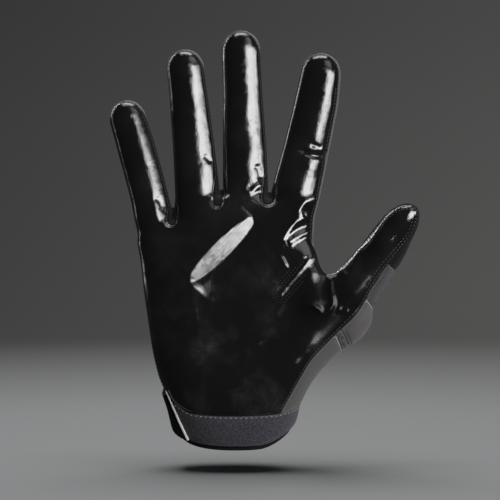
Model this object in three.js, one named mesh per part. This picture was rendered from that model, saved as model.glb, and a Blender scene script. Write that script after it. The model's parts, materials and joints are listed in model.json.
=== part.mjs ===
// A right-hand football receiver's glove, standing open as if a hand filled it.
// Millimetres, +Z up through the middle finger, the palm faces -Y and the thumb is at +X.
// The origin is the centre of the wrist opening, where the hand goes in.
//
// The outer skin is one smooth surface: a palm, four fingers and a thumb, each a table of
// sections, blended where they meet. Every panel is a patch of that skin, cut out along its
// seams and given its cloth's thickness inwards, so the whole glove is hollow.
import * as THREE from "three";

// Cloth and seams.
const COATED_WALL = 1.3;
const KNIT_WALL = 1.4;
const CUFF_WALL = 1.9;
const LINING_WALL = 1.0;
const STRAP_WALL = 1.4;
const SEAM_GAP = 0.34;

// Where the centre of the wrist opening lies in the pattern's own frame.
const OPENING = { y: 5.9, z: -3.3 };

// The palm's level sections, from the wrist up to the roots of the fingers.
const PALM_SQUARENESS = 2.35;
const PALM_ROWS = [
  { z: -22, left: -29.0, right: 29.0, deep: 20.0 },
  { z: 0, left: -32.2, right: 31.6, deep: 20.6 },
  { z: 16, left: -36.0, right: 32.6, deep: 19.6 },
  { z: 26, left: -39.6, right: 33.0, deep: 18.6 },
  { z: 39, left: -42.9, right: 35.0, deep: 17.4 },
  { z: 55, left: -45.5, right: 38.4, deep: 16.2 },
  { z: 70, left: -47.8, right: 40.4, deep: 15.2 },
  { z: 84, left: -49.4, right: 40.6, deep: 14.2 },
  { z: 99, left: -51.4, right: 40.0, deep: 12.4 },
  { z: 112, left: -51.5, right: 39.0, deep: 10.6 },
  { z: 126, left: -50.0, right: 38.0, deep: 9.2 },
  { z: 140, left: -50.0, right: 38.0, deep: 8.6 },
];

// How high the palm reaches between the fingers.
const CROTCH_ROWS = [
  { x: -62, z: 92 },
  { x: -33, z: 105 },
  { x: -8.6, z: 118.5 },
  { x: 17, z: 116.5 },
  { x: 46, z: 104 },
];
const CROTCH_ROUNDING = 5;

// Each digit has a straight axis from its root (x, z), leaning from the vertical by lean degrees.
// Its sections lie at h along that axis: half width, half depth, and shift to the thumb side.
// It ends in a round cap of that length, whose centre is at capAt.
const DIGITS = {
  pinky: {
    x: -42.4,
    z: 104,
    lean: -15.05,
    capAt: 56.6,
    cap: 9.2,
    rows: [
      { h: -22, wide: 10.2, deep: 8.8, shift: 0 },
      { h: 4, wide: 10.1, deep: 8.5, shift: 0.6 },
      { h: 14, wide: 10.1, deep: 8.2, shift: 1.3 },
      { h: 40, wide: 10.1, deep: 7.9, shift: 1.5 },
      { h: 52, wide: 9.8, deep: 7.5, shift: 1.2 },
      { h: 60, wide: 9.3, deep: 7.2, shift: 0.8 },
    ],
  },
  ring: {
    x: -19.8,
    z: 114.4,
    lean: -5.45,
    capAt: 69.3,
    cap: 10.4,
    rows: [
      { h: -24, wide: 12.6, deep: 9.4, shift: -0.5 },
      { h: -6, wide: 12.9, deep: 9.1, shift: -0.5 },
      { h: 4, wide: 12.1, deep: 9.0, shift: 0.2 },
      { h: 13, wide: 11.8, deep: 8.8, shift: 0.5 },
      { h: 29, wide: 11.2, deep: 8.5, shift: 0.7 },
      { h: 45, wide: 10.7, deep: 8.2, shift: 0.7 },
      { h: 58, wide: 10.2, deep: 8.0, shift: 0.6 },
      { h: 72, wide: 9.9, deep: 7.6, shift: 0.3 },
    ],
  },
  middle: {
    x: 4.7,
    z: 115.4,
    lean: -1.77,
    capAt: 77.2,
    cap: 10.8,
    rows: [
      { h: -24, wide: 12.0, deep: 9.8, shift: 0 },
      { h: 0, wide: 12.2, deep: 9.4, shift: 0.3 },
      { h: 12, wide: 12.1, deep: 9.1, shift: 0.6 },
      { h: 28, wide: 11.7, deep: 8.8, shift: 0.7 },
      { h: 44, wide: 11.1, deep: 8.5, shift: 0.6 },
      { h: 55, wide: 10.6, deep: 8.3, shift: 0.6 },
      { h: 74, wide: 10.3, deep: 7.9, shift: 0.4 },
      { h: 80, wide: 10.1, deep: 7.7, shift: 0.3 },
    ],
  },
  index: {
    x: 29.5,
    z: 114.4,
    lean: 12.1,
    capAt: 68.1,
    cap: 11.0,
    rows: [
      { h: -24, wide: 12.4, deep: 10.0, shift: -1 },
      { h: 0, wide: 12.8, deep: 9.6, shift: 0.1 },
      { h: 13, wide: 12.7, deep: 9.2, shift: 0.4 },
      { h: 29, wide: 12.1, deep: 8.8, shift: 0.7 },
      { h: 45, wide: 11.7, deep: 8.5, shift: 0.8 },
      { h: 56, wide: 11.4, deep: 8.3, shift: 0.7 },
      { h: 70, wide: 10.5, deep: 7.8, shift: -0.2 },
    ],
  },
  thumb: {
    x: 53.6,
    z: 60.5,
    lean: 36.6,
    capAt: 50.5,
    cap: 14.2,
    rows: [
      { h: -62, wide: 10.5, deep: 13.0, shift: -3.0 },
      { h: -48, wide: 12.0, deep: 14.4, shift: -2.4 },
      { h: -25, wide: 13.4, deep: 15.2, shift: -1.2 },
      { h: -12, wide: 14.8, deep: 14.6, shift: 0.8 },
      { h: 1, wide: 15.0, deep: 13.4, shift: 1.2 },
      { h: 10, wide: 14.0, deep: 12.2, shift: 0.4 },
      { h: 17, wide: 13.0, deep: 11.3, shift: 0.4 },
      { h: 30, wide: 11.5, deep: 10.2, shift: 0.4 },
      { h: 42, wide: 10.5, deep: 9.5, shift: -0.2 },
      { h: 51, wide: 9.3, deep: 9.1, shift: -1.3 },
      { h: 60, wide: 8.4, deep: 8.6, shift: -1.5 },
    ],
  },
};
const FINGERS = [DIGITS.pinky, DIGITS.ring, DIGITS.middle, DIGITS.index];
const ROOT_CAP = 8;
const FINGER_BLEND = 3.5;
const THUMB_BLEND = 12;

// The open hand isn't flat: the wrist, fingertips and thumb stand off the palm's plane.
const WRIST_BEND = { from: 35, rate: 0.004 };
const FINGER_CURL = { from: 115, rate: -0.0011 };
const THUMB_REACH = { from: -20, rate: -0.0026, start: -30, full: -12 };

// Raised or sunk places on the skin: a ridge from (x1, z1) to (x2, z2), wide and high, on the
// palm's face or the back's. The first three are the pads of the hand, the rest are folds.
const RIDGES = [
  { face: "palm", x1: 34, z1: 34, x2: 46, z2: 58, wide: 15, high: 2.4 },
  { face: "palm", x1: -30, z1: 28, x2: -34, z2: 74, wide: 14, high: 1.8 },
  { face: "palm", x1: 2, z1: 50, x2: 0, z2: 80, wide: 17, high: -3.0 },
  { face: "palm", x1: 42, z1: 119, x2: 30, z2: 110, wide: 2.6, high: 1.4 },
  { face: "palm", x1: 39, z1: 108, x2: 23, z2: 96, wide: 2.8, high: 1.5 },
  { face: "palm", x1: 50, z1: 76, x2: 50, z2: 62, wide: 2.4, high: 1.1 },
  { face: "palm", x1: 50, z1: 62, x2: 33, z2: 60, wide: 2.6, high: 1.1 },
  { face: "palm", x1: -51, z1: 98, x2: -41, z2: 97, wide: 2.4, high: 0.9 },
  { face: "palm", x1: 34, z1: 141, x2: 47, z2: 139, wide: 2.2, high: -1.0 },
  { face: "back", x1: -34, z1: 112, x2: -28, z2: 104, wide: 9, high: 1.2 },
  { face: "back", x1: -14, z1: 117, x2: -12, z2: 106, wide: 9, high: 1.4 },
  { face: "back", x1: 6, z1: 118, x2: 6, z2: 106, wide: 9, high: 1.5 },
  { face: "back", x1: 27, z1: 114, x2: 25, z2: 103, wide: 9, high: 1.3 },
];
// The padded piece over the thumb's knuckle swells from its outer side.
const KNUCKLE_PAD = { h: -1.5, u: 17, long: 9.5, wide: 9, high: 2.3 };

// Seams, in the glove's flat depth v (negative at the palm): where the palm panel ends on a
// digit's side, and where the side strips between the fingers meet the back.
const PALM_SEAM = -2.5;
const BACK_SEAM = 3.2;
const STRIP_END = { from: 4, to: 17, under: 1 };
const STRIPS = {
  side_strip_ring_pinky: [DIGITS.pinky, DIGITS.ring],
  side_strip_middle_ring: [DIGITS.ring, DIGITS.middle],
  side_strip_index_middle: [DIGITS.middle, DIGITS.index],
};
// The palm panel's edge along the thumb's outer side, across (u) at each height (h) of it.
const THUMB_SEAM = [
  { h: -64, u: 8.0 },
  { h: -54, u: 6.6 },
  { h: -42, u: 5.0 },
  { h: -30, u: 3.8 },
  { h: -16, u: 5.3 },
  { h: -5, u: 7.0 },
  { h: 6, u: 8.2 },
  { h: 17, u: 6.8 },
  { h: 29, u: 6.0 },
  { h: 42, u: 6.2 },
  { h: 52, u: 6.2 },
  { h: 60, u: 3.6 },
];
// On the back, the thumb's own panels end along this line.
const THUMB_ROOT = [
  { h: -64, u: -3 },
  { h: -30, u: -6 },
  { h: 10, u: -17 },
  { h: 30, u: -27 },
];
// Cuts across the thumb's back: at height h beside the palm seam, turning by slope across it.
const THUMB_CUTS = {
  tipToRib: { h: 32.5, slope: 0 },
  ribToPad: { h: 12, slope: -0.25 },
  padToMesh: { h: -9, slope: -0.47 },
  meshToBase: { h: -13, slope: -0.55 },
};
const CUT_AT_U = 8;

// The cuff: its upper seam and its rim are slanted, low at the palm and high at the back.
const CUFF_TOP = { z: 5.6, atY: -17, slope: 0.27, rise: 4.5, riseFrom: -22, riseTo: -36 };
const CUFF_RIM = { z: -12.2, atY: -11.3, slope: 0.46, rise: 6, riseFrom: 12, riseTo: 36 };
const LINING = { below: 1.7, above: 7 };
// The closing strap lies over the cuff from the piping, round the little-finger side and back.
const STRAP = {
  edgeX1: -36.6,
  edgeZ1: 18.2,
  edgeX2: -25.2,
  edgeZ2: -6.8,
  endX: 14,
  inset: 3.4,
  rise: 5.5,
  gap: 0.6,
};
// White piping finishes the strap's edge on the palm's face.
const PIPING = { radius: 0.8, sides: 8, steps: 5, start: 0.06, end: 0.98, aside: 1.15 };

// The skin's mesh: its cell in each direction, and how near a corner is moved onto a seam. The
// cells' sides lie in the narrow gaps between the fingers, so that those stay open to their ends.
const FINGER_GAPS = { middle: -7.8, spacing: 25.5, cells: 6 };
const CELL = { x: FINGER_GAPS.spacing / FINGER_GAPS.cells, y: 4.7, z: 8.3 };
const BOX = { x: [FINGER_GAPS.middle - 14 * CELL.x, 104], y: [-48, 36], z: [-24, 214] };
const SNAP = 1.3;
const ON_EDGE = 0.04;
const SHORTEST_EDGE = 0.3;

const clamp01 = (t) => Math.min(1, Math.max(0, t));

function smoothstep(from, to, at) {
  const t = clamp01((at - from) / (to - from));
  return t * t * (3 - 2 * t);
}

function smoothMin(a, b, blend) {
  const near = Math.max(blend - Math.abs(a - b), 0) / blend;
  return Math.min(a, b) - (near * near * blend) / 4;
}

function smoothMax(a, b, blend) {
  return -smoothMin(-a, -b, blend);
}

// One column of a table at a given key, on a smooth curve through its rows.
function column(rows, key, name, at) {
  const last = rows.length - 1;
  if (at <= rows[0][key]) return rows[0][name];
  if (at >= rows[last][key]) return rows[last][name];
  let i = 0;
  while (at > rows[i + 1][key]) i += 1;
  const slopeAt = (j) => {
    const a = rows[Math.max(j - 1, 0)];
    const b = rows[Math.min(j + 1, last)];
    return (b[name] - a[name]) / (b[key] - a[key]);
  };
  const span = rows[i + 1][key] - rows[i][key];
  const t = (at - rows[i][key]) / span;
  const t2 = t * t;
  const t3 = t2 * t;
  const startTerm = (2 * t3 - 3 * t2 + 1) * rows[i][name] + (t3 - 2 * t2 + t) * span * slopeAt(i);
  const endTerm = (3 * t2 - 2 * t3) * rows[i + 1][name] + (t3 - t2) * span * slopeAt(i + 1);
  return startTerm + endTerm;
}

// A digit's own coordinates of a flat point: h up its axis and u across it.
function onDigit(digit, x, z) {
  const lean = THREE.MathUtils.degToRad(digit.lean);
  const dx = x - digit.x;
  const dz = z - digit.z;
  return {
    h: dx * Math.sin(lean) + dz * Math.cos(lean),
    u: dx * Math.cos(lean) - dz * Math.sin(lean),
  };
}

// Nearly the distance to an ellipsoid's surface, from its half axes.
function ellipsoidDistance(a, halfA, b, halfB, c, halfC) {
  const near = Math.hypot(a / halfA, b / halfB, c / halfC);
  const steep = Math.hypot(a / halfA ** 2, b / halfB ** 2, c / halfC ** 2);
  return steep < 1e-6 ? -Math.min(halfA, halfB) : (near * (near - 1)) / steep;
}

function digitDistance(digit, x, v, z) {
  const { h, u } = onDigit(digit, x, z);
  const wide = column(digit.rows, "h", "wide", h);
  const deep = column(digit.rows, "h", "deep", h);
  const shift = column(digit.rows, "h", "shift", h);
  const pastTip = Math.max(0, h - digit.capAt);
  const pastRoot = Math.max(0, digit.rows[0].h - h);
  const cap = pastTip > 0 ? digit.cap : ROOT_CAP;
  return ellipsoidDistance(u - shift, wide, v, deep, pastTip + pastRoot, cap);
}

function palmDistance(x, v, z) {
  const left = column(PALM_ROWS, "z", "left", z);
  const right = column(PALM_ROWS, "z", "right", z);
  const deep = column(PALM_ROWS, "z", "deep", z);
  const half = (right - left) / 2;
  const u = Math.abs(x - (left + right) / 2);
  const w = Math.abs(v);
  const n = PALM_SQUARENESS;
  const near = ((u / half) ** n + (w / deep) ** n) ** (1 / n);
  const steep = Math.hypot(u ** (n - 1) / half ** n, w ** (n - 1) / deep ** n) * near ** (1 - n);
  const side = steep < 1e-6 ? -deep : (near - 1) / steep;
  return smoothMax(side, z - column(CROTCH_ROWS, "x", "z", x), CROTCH_ROUNDING);
}

// How far the skin at a flat point stands off the flat pattern, towards the back.
function bendAt(x, z) {
  const wrist = WRIST_BEND.rate * Math.max(0, WRIST_BEND.from - z) ** 2;
  const curl = FINGER_CURL.rate * Math.max(0, z - FINGER_CURL.from) ** 2;
  const { h, u } = onDigit(DIGITS.thumb, x, z);
  const onThumb = smoothstep(THUMB_REACH.start, THUMB_REACH.full, u);
  const reach = THUMB_REACH.rate * Math.max(0, h - THUMB_REACH.from) ** 2;
  return wrist + curl * (1 - onThumb) + reach * onThumb;
}

function reliefAt(x, v, z) {
  let relief = 0;
  for (const ridge of RIDGES) {
    const dx = ridge.x2 - ridge.x1;
    const dz = ridge.z2 - ridge.z1;
    const t = clamp01(((x - ridge.x1) * dx + (z - ridge.z1) * dz) / (dx * dx + dz * dz));
    const away = Math.hypot(x - ridge.x1 - t * dx, z - ridge.z1 - t * dz) / ridge.wide;
    const facing = smoothstep(0, 4, ridge.face === "palm" ? -v : v);
    relief += ridge.high * Math.exp(-away * away) * facing;
  }
  const { h, u } = onDigit(DIGITS.thumb, x, z);
  const pad = Math.hypot((h - KNUCKLE_PAD.h) / KNUCKLE_PAD.long, (u - KNUCKLE_PAD.u) / KNUCKLE_PAD.wide);
  return relief + KNUCKLE_PAD.high * Math.exp(-(pad ** 4));
}

// The whole outer skin: negative inside the glove, zero on its surface.
function skinDistance(x, y, z) {
  const v = y - bendAt(x, z);
  const fingers = Math.min(...FINGERS.map((finger) => digitDistance(finger, x, v, z)));
  const hand = smoothMin(palmDistance(x, v, z), fingers, FINGER_BLEND);
  const all = smoothMin(hand, digitDistance(DIGITS.thumb, x, v, z), THUMB_BLEND);
  return all - reliefAt(x, v, z);
}

function slopeOf(field, p) {
  const step = 0.05;
  return new THREE.Vector3(
    field(p.x + step, p.y, p.z) - field(p.x - step, p.y, p.z),
    field(p.x, p.y + step, p.z) - field(p.x, p.y - step, p.z),
    field(p.x, p.y, p.z + step) - field(p.x, p.y, p.z - step),
  ).divideScalar(2 * step);
}

function settleOnSkin(p, steps = 4) {
  for (let i = 0; i < steps; i += 1) {
    const slope = slopeOf(skinDistance, p);
    p.addScaledVector(slope, -skinDistance(p.x, p.y, p.z) / slope.lengthSq());
  }
  return p;
}

// Meshes the skin: one corner in each grid cell that the skin crosses, one quad round each
// grid edge that it crosses.
function meshSkin() {
  const axes = ["x", "y", "z"];
  const count = axes.map((a) => Math.ceil((BOX[a][1] - BOX[a][0]) / CELL[a]));
  const place = (i, j, k) =>
    new THREE.Vector3(BOX.x[0] + i * CELL.x, BOX.y[0] + j * CELL.y, BOX.z[0] + k * CELL.z);
  const stride = [1, count[0] + 1, (count[0] + 1) * (count[1] + 1)];
  const values = [];
  for (let k = 0; k <= count[2]; k += 1)
    for (let j = 0; j <= count[1]; j += 1)
      for (let i = 0; i <= count[0]; i += 1) {
        const p = place(i, j, k);
        values.push(skinDistance(p.x, p.y, p.z));
      }
  const corners = [];
  const cornerOf = new Map();
  for (let k = 0; k < count[2]; k += 1)
    for (let j = 0; j < count[1]; j += 1)
      for (let i = 0; i < count[0]; i += 1) {
        const at = i + j * stride[1] + k * stride[2];
        const centre = cellCorner(values, at, stride, place, [i, j, k]);
        if (centre) {
          cornerOf.set(at, corners.length);
          corners.push(settleOnSkin(centre));
        }
      }
  const triangles = [];
  for (let at = 0; at < values.length; at += 1)
    for (let axis = 0; axis < 3; axis += 1) {
      const across = [stride[(axis + 1) % 3], stride[(axis + 2) % 3]];
      const inside = values[at] < 0;
      if (at + stride[axis] >= values.length || inside === values[at + stride[axis]] < 0) continue;
      const cells = [at, at - across[0], at - across[0] - across[1], at - across[1]];
      const ring = cells.map((cell) => cornerOf.get(cell));
      if (ring.includes(undefined)) continue;
      const [a, b, c, d] = inside ? ring : ring.reverse();
      if (corners[a].distanceTo(corners[c]) < corners[b].distanceTo(corners[d]))
        triangles.push([a, b, c], [a, c, d]);
      else triangles.push([a, b, d], [b, c, d]);
    }
  return { corners, triangles };
}

// The mean of the points where the skin crosses one cell's edges, or null if it doesn't.
function cellCorner(values, at, stride, place, cell) {
  const sum = new THREE.Vector3();
  let crossings = 0;
  for (let axis = 0; axis < 3; axis += 1)
    for (let side = 0; side < 4; side += 1) {
      const shift = [0, 0, 0];
      shift[(axis + 1) % 3] = side & 1;
      shift[(axis + 2) % 3] = side >> 1;
      const start = at + shift[0] * stride[0] + shift[1] * stride[1] + shift[2] * stride[2];
      const a = values[start];
      const b = values[start + stride[axis]];
      if (a < 0 === b < 0) continue;
      const here = cell.map((n, m) => n + shift[m]);
      here[axis] += a / (a - b);
      sum.add(place(...here));
      crossings += 1;
    }
  return crossings ? sum.divideScalar(crossings) : null;
}

// The flat coordinates of a point on the bent glove, with its place on the thumb.
function flat(x, y, z) {
  return { x, v: y - bendAt(x, z), z, ...onDigit(DIGITS.thumb, x, z) };
}

// Seam fields: each is negative on its first-named side.

function palmOverBack(x, y, z) {
  const at = flat(x, y, z);
  return smoothMax(at.v - PALM_SEAM, at.u - column(THUMB_SEAM, "h", "u", at.h), 2);
}

function thumbOverBack(x, y, z) {
  const at = flat(x, y, z);
  return column(THUMB_ROOT, "h", "u", at.h) - at.u;
}

// Above a cut across the thumb.
function aboveCut(cut, x, y, z) {
  const { h, u } = flat(x, y, z);
  return cut.h + cut.slope * (u - CUT_AT_U) - h;
}

function cuffOverHand(x, y, z) {
  const rise = CUFF_TOP.rise * smoothstep(CUFF_TOP.riseFrom, CUFF_TOP.riseTo, x);
  return z - CUFF_TOP.z - CUFF_TOP.slope * (y - CUFF_TOP.atY) - rise;
}

function aboveRim(x, y, z) {
  const rise = CUFF_RIM.rise * smoothstep(CUFF_RIM.riseFrom, CUFF_RIM.riseTo, x);
  return CUFF_RIM.z + CUFF_RIM.slope * (y - CUFF_RIM.atY) + rise - z;
}

// Between two neighbouring fingers' axes.
function betweenFingers([near, far], x, z) {
  return Math.max(-onDigit(near, x, z).u, onDigit(far, x, z).u);
}

// In front of the side strips' back seam. The strips run down one finger's side, round the
// crotch and up the next finger, and taper to nothing near the fingertips.
function stripOverBack(x, y, z) {
  const at = flat(x, y, z);
  const pair = Object.values(STRIPS).find((fingers) => betweenFingers(fingers, x, z) < 0);
  if (!pair) return at.v - PALM_SEAM + STRIP_END.under;
  const [near, far] = pair.map((finger) => ({ ...onDigit(finger, x, z), tip: finger.capAt + finger.cap }));
  const toTip = near.u < -far.u ? near.tip - near.h : far.tip - far.h;
  const full = smoothstep(STRIP_END.from, STRIP_END.to, toTip);
  return at.v - PALM_SEAM + STRIP_END.under - (BACK_SEAM - PALM_SEAM + STRIP_END.under) * full;
}

const outside = (field) => (x, y, z) => -field(x, y, z);
const cutAbove = (name) => (x, y, z) => aboveCut(THUMB_CUTS[name], x, y, z);

// Cuts the patch of the skin out where every field is negative, one seam after another.
function cutPatch(skin, ...fields) {
  let patch = { corners: skin.corners.map((p) => p.clone()), triangles: skin.triangles, edged: new Set() };
  for (const field of fields) patch = joinShortEdges(cutAlong(patch, field));
  return largestPiece(patch);
}

// Joins corners that lie closer together than a seam needs. A corner on a seam stays.
function joinShortEdges({ corners, triangles, edged }) {
  const joined = new Map();
  const follow = (i) => (joined.has(i) ? follow(joined.get(i)) : i);
  for (const [a, b] of triangles.flatMap(edgesOf)) {
    const from = follow(a);
    const to = follow(b);
    if (from === to || corners[from].distanceTo(corners[to]) > SHORTEST_EDGE) continue;
    if (edged.has(from)) joined.set(to, from);
    else joined.set(from, to);
  }
  const kept = triangles.map((triangle) => triangle.map(follow));
  return { corners, triangles: kept.filter(([a, b, c]) => a !== b && b !== c && c !== a), edged };
}

// Cuts a sheet along one seam, less half of the gap that every seam keeps.
function cutAlong({ corners, triangles, edged }, field) {
  const edge = (x, y, z) => field(x, y, z) + SEAM_GAP / 2;
  const values = new Map();
  for (const i of new Set(triangles.flat())) values.set(i, snapToEdge(corners[i], edge, edged.has(i)));
  for (const [i, value] of values) if (value === 0) edged.add(i);
  const made = new Map();
  const crossing = (a, b) => {
    const key = a < b ? `${a},${b}` : `${b},${a}`;
    if (!made.has(key)) {
      made.set(key, corners.length);
      edged.add(corners.length);
      corners.push(edgePoint(corners[a], corners[b], edge));
    }
    return made.get(key);
  };
  const kept = [];
  for (const triangle of triangles) {
    if (triangle.every((i) => values.get(i) >= 0)) continue;
    const ring = [];
    triangle.forEach((a, n) => {
      const b = triangle[(n + 1) % 3];
      if (values.get(a) <= 0) ring.push(a);
      if (values.get(a) * values.get(b) < 0) ring.push(crossing(a, b));
    });
    for (let n = 2; n < ring.length; n += 1) kept.push([ring[0], ring[n - 1], ring[n]]);
  }
  return { corners, triangles: kept, edged };
}

// Moves a corner that is close to a seam along the skin and onto it, and gives its value. The
// panels on both sides move the same corners. One that another seam holds stays where it is.
function snapToEdge(p, edge, held) {
  const value = edge(p.x, p.y, p.z);
  if (Math.abs(value) < ON_EDGE) return 0;
  if (held || Math.abs(value - SEAM_GAP / 2) > SNAP) return value;
  const moved = p.clone();
  for (let i = 0; i < 5; i += 1) {
    const normal = slopeOf(skinDistance, moved).normalize();
    const along = slopeOf(edge, moved);
    along.addScaledVector(normal, -along.dot(normal));
    const off = edge(moved.x, moved.y, moved.z);
    moved.addScaledVector(along, -off / Math.max(along.lengthSq(), 0.2));
    settleOnSkin(moved, 1);
  }
  if (Math.abs(edge(moved.x, moved.y, moved.z)) > ON_EDGE) return value;
  if (moved.distanceTo(p) > 2 * SNAP) return value;
  p.copy(moved);
  return 0;
}

// The point of a mesh edge that lies on a seam.
function edgePoint(a, b, edge) {
  let low = a.clone();
  let high = b.clone();
  const lowSign = Math.sign(edge(low.x, low.y, low.z));
  const middle = new THREE.Vector3();
  for (let i = 0; i < 12; i += 1) {
    middle.lerpVectors(low, high, 0.5);
    if (Math.sign(edge(middle.x, middle.y, middle.z)) === lowSign) low = middle.clone();
    else high = middle.clone();
  }
  return settleOnSkin(middle.clone(), 2);
}

// Keeps the piece of a patch with the most triangles, and drops triangles that hang on it by
// one corner only, so that the patch is a clean sheet with a plain edge.
function largestPiece({ corners, triangles }) {
  let kept = triangles;
  for (let pass = 0; pass < 4; pass += 1) {
    kept = largestConnected(kept);
    const pinched = pinchedCorners(kept);
    if (!pinched.size) break;
    kept = kept.filter((triangle) => !triangle.some((i) => pinched.has(i)));
  }
  return { corners, triangles: kept };
}

function edgesOf(triangle) {
  return triangle.map((a, n) => [a, triangle[(n + 1) % 3]]);
}

function largestConnected(triangles) {
  const byEdge = new Map();
  triangles.forEach((triangle, t) => {
    for (const [a, b] of edgesOf(triangle)) {
      const key = a < b ? `${a},${b}` : `${b},${a}`;
      byEdge.set(key, [...(byEdge.get(key) ?? []), t]);
    }
  });
  const neighbours = triangles.map(() => []);
  for (const sharing of byEdge.values())
    for (const a of sharing) for (const b of sharing) if (a !== b) neighbours[a].push(b);
  const group = new Array(triangles.length).fill(-1);
  let best = [];
  for (let start = 0; start < triangles.length; start += 1) {
    if (group[start] >= 0) continue;
    const members = [start];
    group[start] = start;
    for (const t of members)
      for (const next of neighbours[t])
        if (group[next] < 0) {
          group[next] = start;
          members.push(next);
        }
    if (members.length > best.length) best = members;
  }
  return best.map((t) => triangles[t]);
}

function openEdges(triangles) {
  const directed = new Set(triangles.flatMap((t) => edgesOf(t).map(([a, b]) => `${a},${b}`)));
  return triangles.flatMap(edgesOf).filter(([a, b]) => !directed.has(`${b},${a}`));
}

function pinchedCorners(triangles) {
  const starts = new Map();
  for (const [a] of openEdges(triangles)) starts.set(a, (starts.get(a) ?? 0) + 1);
  return new Set([...starts].filter(([, n]) => n > 1).map(([a]) => a));
}

// Gives a patch thickness between two offsets from the skin, and closes its edge.
function thicken({ corners, triangles }, outer, inner) {
  const used = [...new Set(triangles.flat())];
  const numbered = new Map(used.map((i, n) => [i, n]));
  const positions = new Float32Array(used.length * 6);
  used.forEach((i, n) => {
    const normal = slopeOf(skinDistance, corners[i]).normalize();
    corners[i].clone().addScaledVector(normal, outer).toArray(positions, n * 3);
    corners[i].clone().addScaledVector(normal, inner).toArray(positions, (used.length + n) * 3);
  });
  const index = [];
  const under = (i) => numbered.get(i) + used.length;
  for (const [a, b, c] of triangles) {
    index.push(numbered.get(a), numbered.get(b), numbered.get(c));
    index.push(under(a), under(c), under(b));
  }
  for (const [a, b] of openEdges(triangles)) {
    index.push(numbered.get(a), under(a), under(b));
    index.push(numbered.get(a), under(b), numbered.get(b));
  }
  const geometry = new THREE.BufferGeometry();
  geometry.setAttribute("position", new THREE.BufferAttribute(positions, 3));
  geometry.setIndex(index);
  geometry.computeVertexNormals();
  return geometry;
}

const MATERIALS = {
  coated_palm: new THREE.MeshStandardMaterial({ color: 0x0b0b0c, roughness: 0.16 }),
  black_fabric: new THREE.MeshStandardMaterial({ color: 0x101011, roughness: 0.75 }),
  grey_fabric: new THREE.MeshStandardMaterial({ color: 0x66625f, roughness: 0.85 }),
  rib_knit: new THREE.MeshStandardMaterial({ color: 0x4e4d51, roughness: 0.9 }),
  heather_knit: new THREE.MeshStandardMaterial({ color: 0x3a3a3d, roughness: 0.95 }),
  cuff_knit: new THREE.MeshStandardMaterial({ color: 0x3b3b40, roughness: 0.95 }),
  white_piping: new THREE.MeshStandardMaterial({ color: 0xe6e6e4, roughness: 0.5 }),
};

const skin = meshSkin();
const glove = new THREE.Group();
glove.position.set(0, -OPENING.y, -OPENING.z);

function addPiece(name, geometry, material) {
  const mesh = new THREE.Mesh(geometry, MATERIALS[material]);
  mesh.name = name;
  glove.add(mesh);
}

function addPanel(name, material, wall, ...fields) {
  addPiece(name, thicken(cutPatch(skin, ...fields), 0, -wall), material);
}

const hand = outside(cuffOverHand);
const backSide = outside(palmOverBack);

function addHandPanels() {
  addPanel("palm_panel", "coated_palm", COATED_WALL, hand, palmOverBack);
  const back = [hand, backSide, outside(thumbOverBack), outside(stripOverBack)];
  addPanel("back_panel", "grey_fabric", KNIT_WALL, ...back);
  for (const [name, pair] of Object.entries(STRIPS)) {
    const between = (x, y, z) => betweenFingers(pair, x, z);
    addPanel(name, "black_fabric", KNIT_WALL, backSide, stripOverBack, between);
  }
}

function addThumbPanels() {
  const thumb = [hand, backSide, thumbOverBack];
  const [tip, rib, pad, insert] = Object.keys(THUMB_CUTS).map(cutAbove);
  const addThumb = (name, material, ...cuts) => addPanel(name, material, KNIT_WALL, ...thumb, ...cuts);
  addThumb("thumb_tip_back", "black_fabric", tip);
  addThumb("thumb_rib_band", "rib_knit", outside(tip), rib);
  addThumb("thumb_knuckle_pad", "grey_fabric", outside(rib), pad);
  addThumb("thumb_heather_insert", "heather_knit", outside(pad), insert);
  addThumb("thumb_base_panel", "grey_fabric", outside(insert));
}

function addCuff() {
  addPanel("cuff_band", "cuff_knit", CUFF_WALL, cuffOverHand, aboveRim);
  const low = (x, y, z) => aboveRim(x, y, z) - LINING.below;
  const high = (x, y, z) => -aboveRim(x, y, z) - LINING.above;
  const outer = -CUFF_WALL - SEAM_GAP;
  const lining = thicken(cutPatch(skin, low, high), outer, outer - LINING_WALL);
  addPiece("cuff_lining", lining, "black_fabric");
}

// How far a point lies past the piping on the palm's face, where the strap ends.
function pastPiping(x, z) {
  const dx = STRAP.edgeX2 - STRAP.edgeX1;
  const dz = STRAP.edgeZ2 - STRAP.edgeZ1;
  return ((z - STRAP.edgeZ1) * dx - (x - STRAP.edgeX1) * dz) / Math.hypot(dx, dz);
}

function addStrap() {
  const low = (x, y, z) => aboveRim(x, y, z) + STRAP.inset;
  const high = (x, y, z) => cuffOverHand(x, y, z) - STRAP.rise * smoothstep(8, -30, x);
  const front = (x, y, z) => Math.min(pastPiping(x, z), OPENING.y - y);
  const end = (x) => x - STRAP.endX;
  const strap = cutPatch(skin, low, high, front, end);
  addPiece("closing_strap", thicken(strap, STRAP.gap + STRAP_WALL, STRAP.gap), "black_fabric");
}

// A point of the palm's face at a flat place, raised off the skin.
function onPalmFace(x, z, raised) {
  const p = new THREE.Vector3(x, bendAt(x, z) - PALM_ROWS[0].deep, z);
  for (let i = 0; i < 30; i += 1) p.y += skinDistance(p.x, p.y, p.z);
  return p.addScaledVector(slopeOf(skinDistance, p).normalize(), raised);
}

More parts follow.
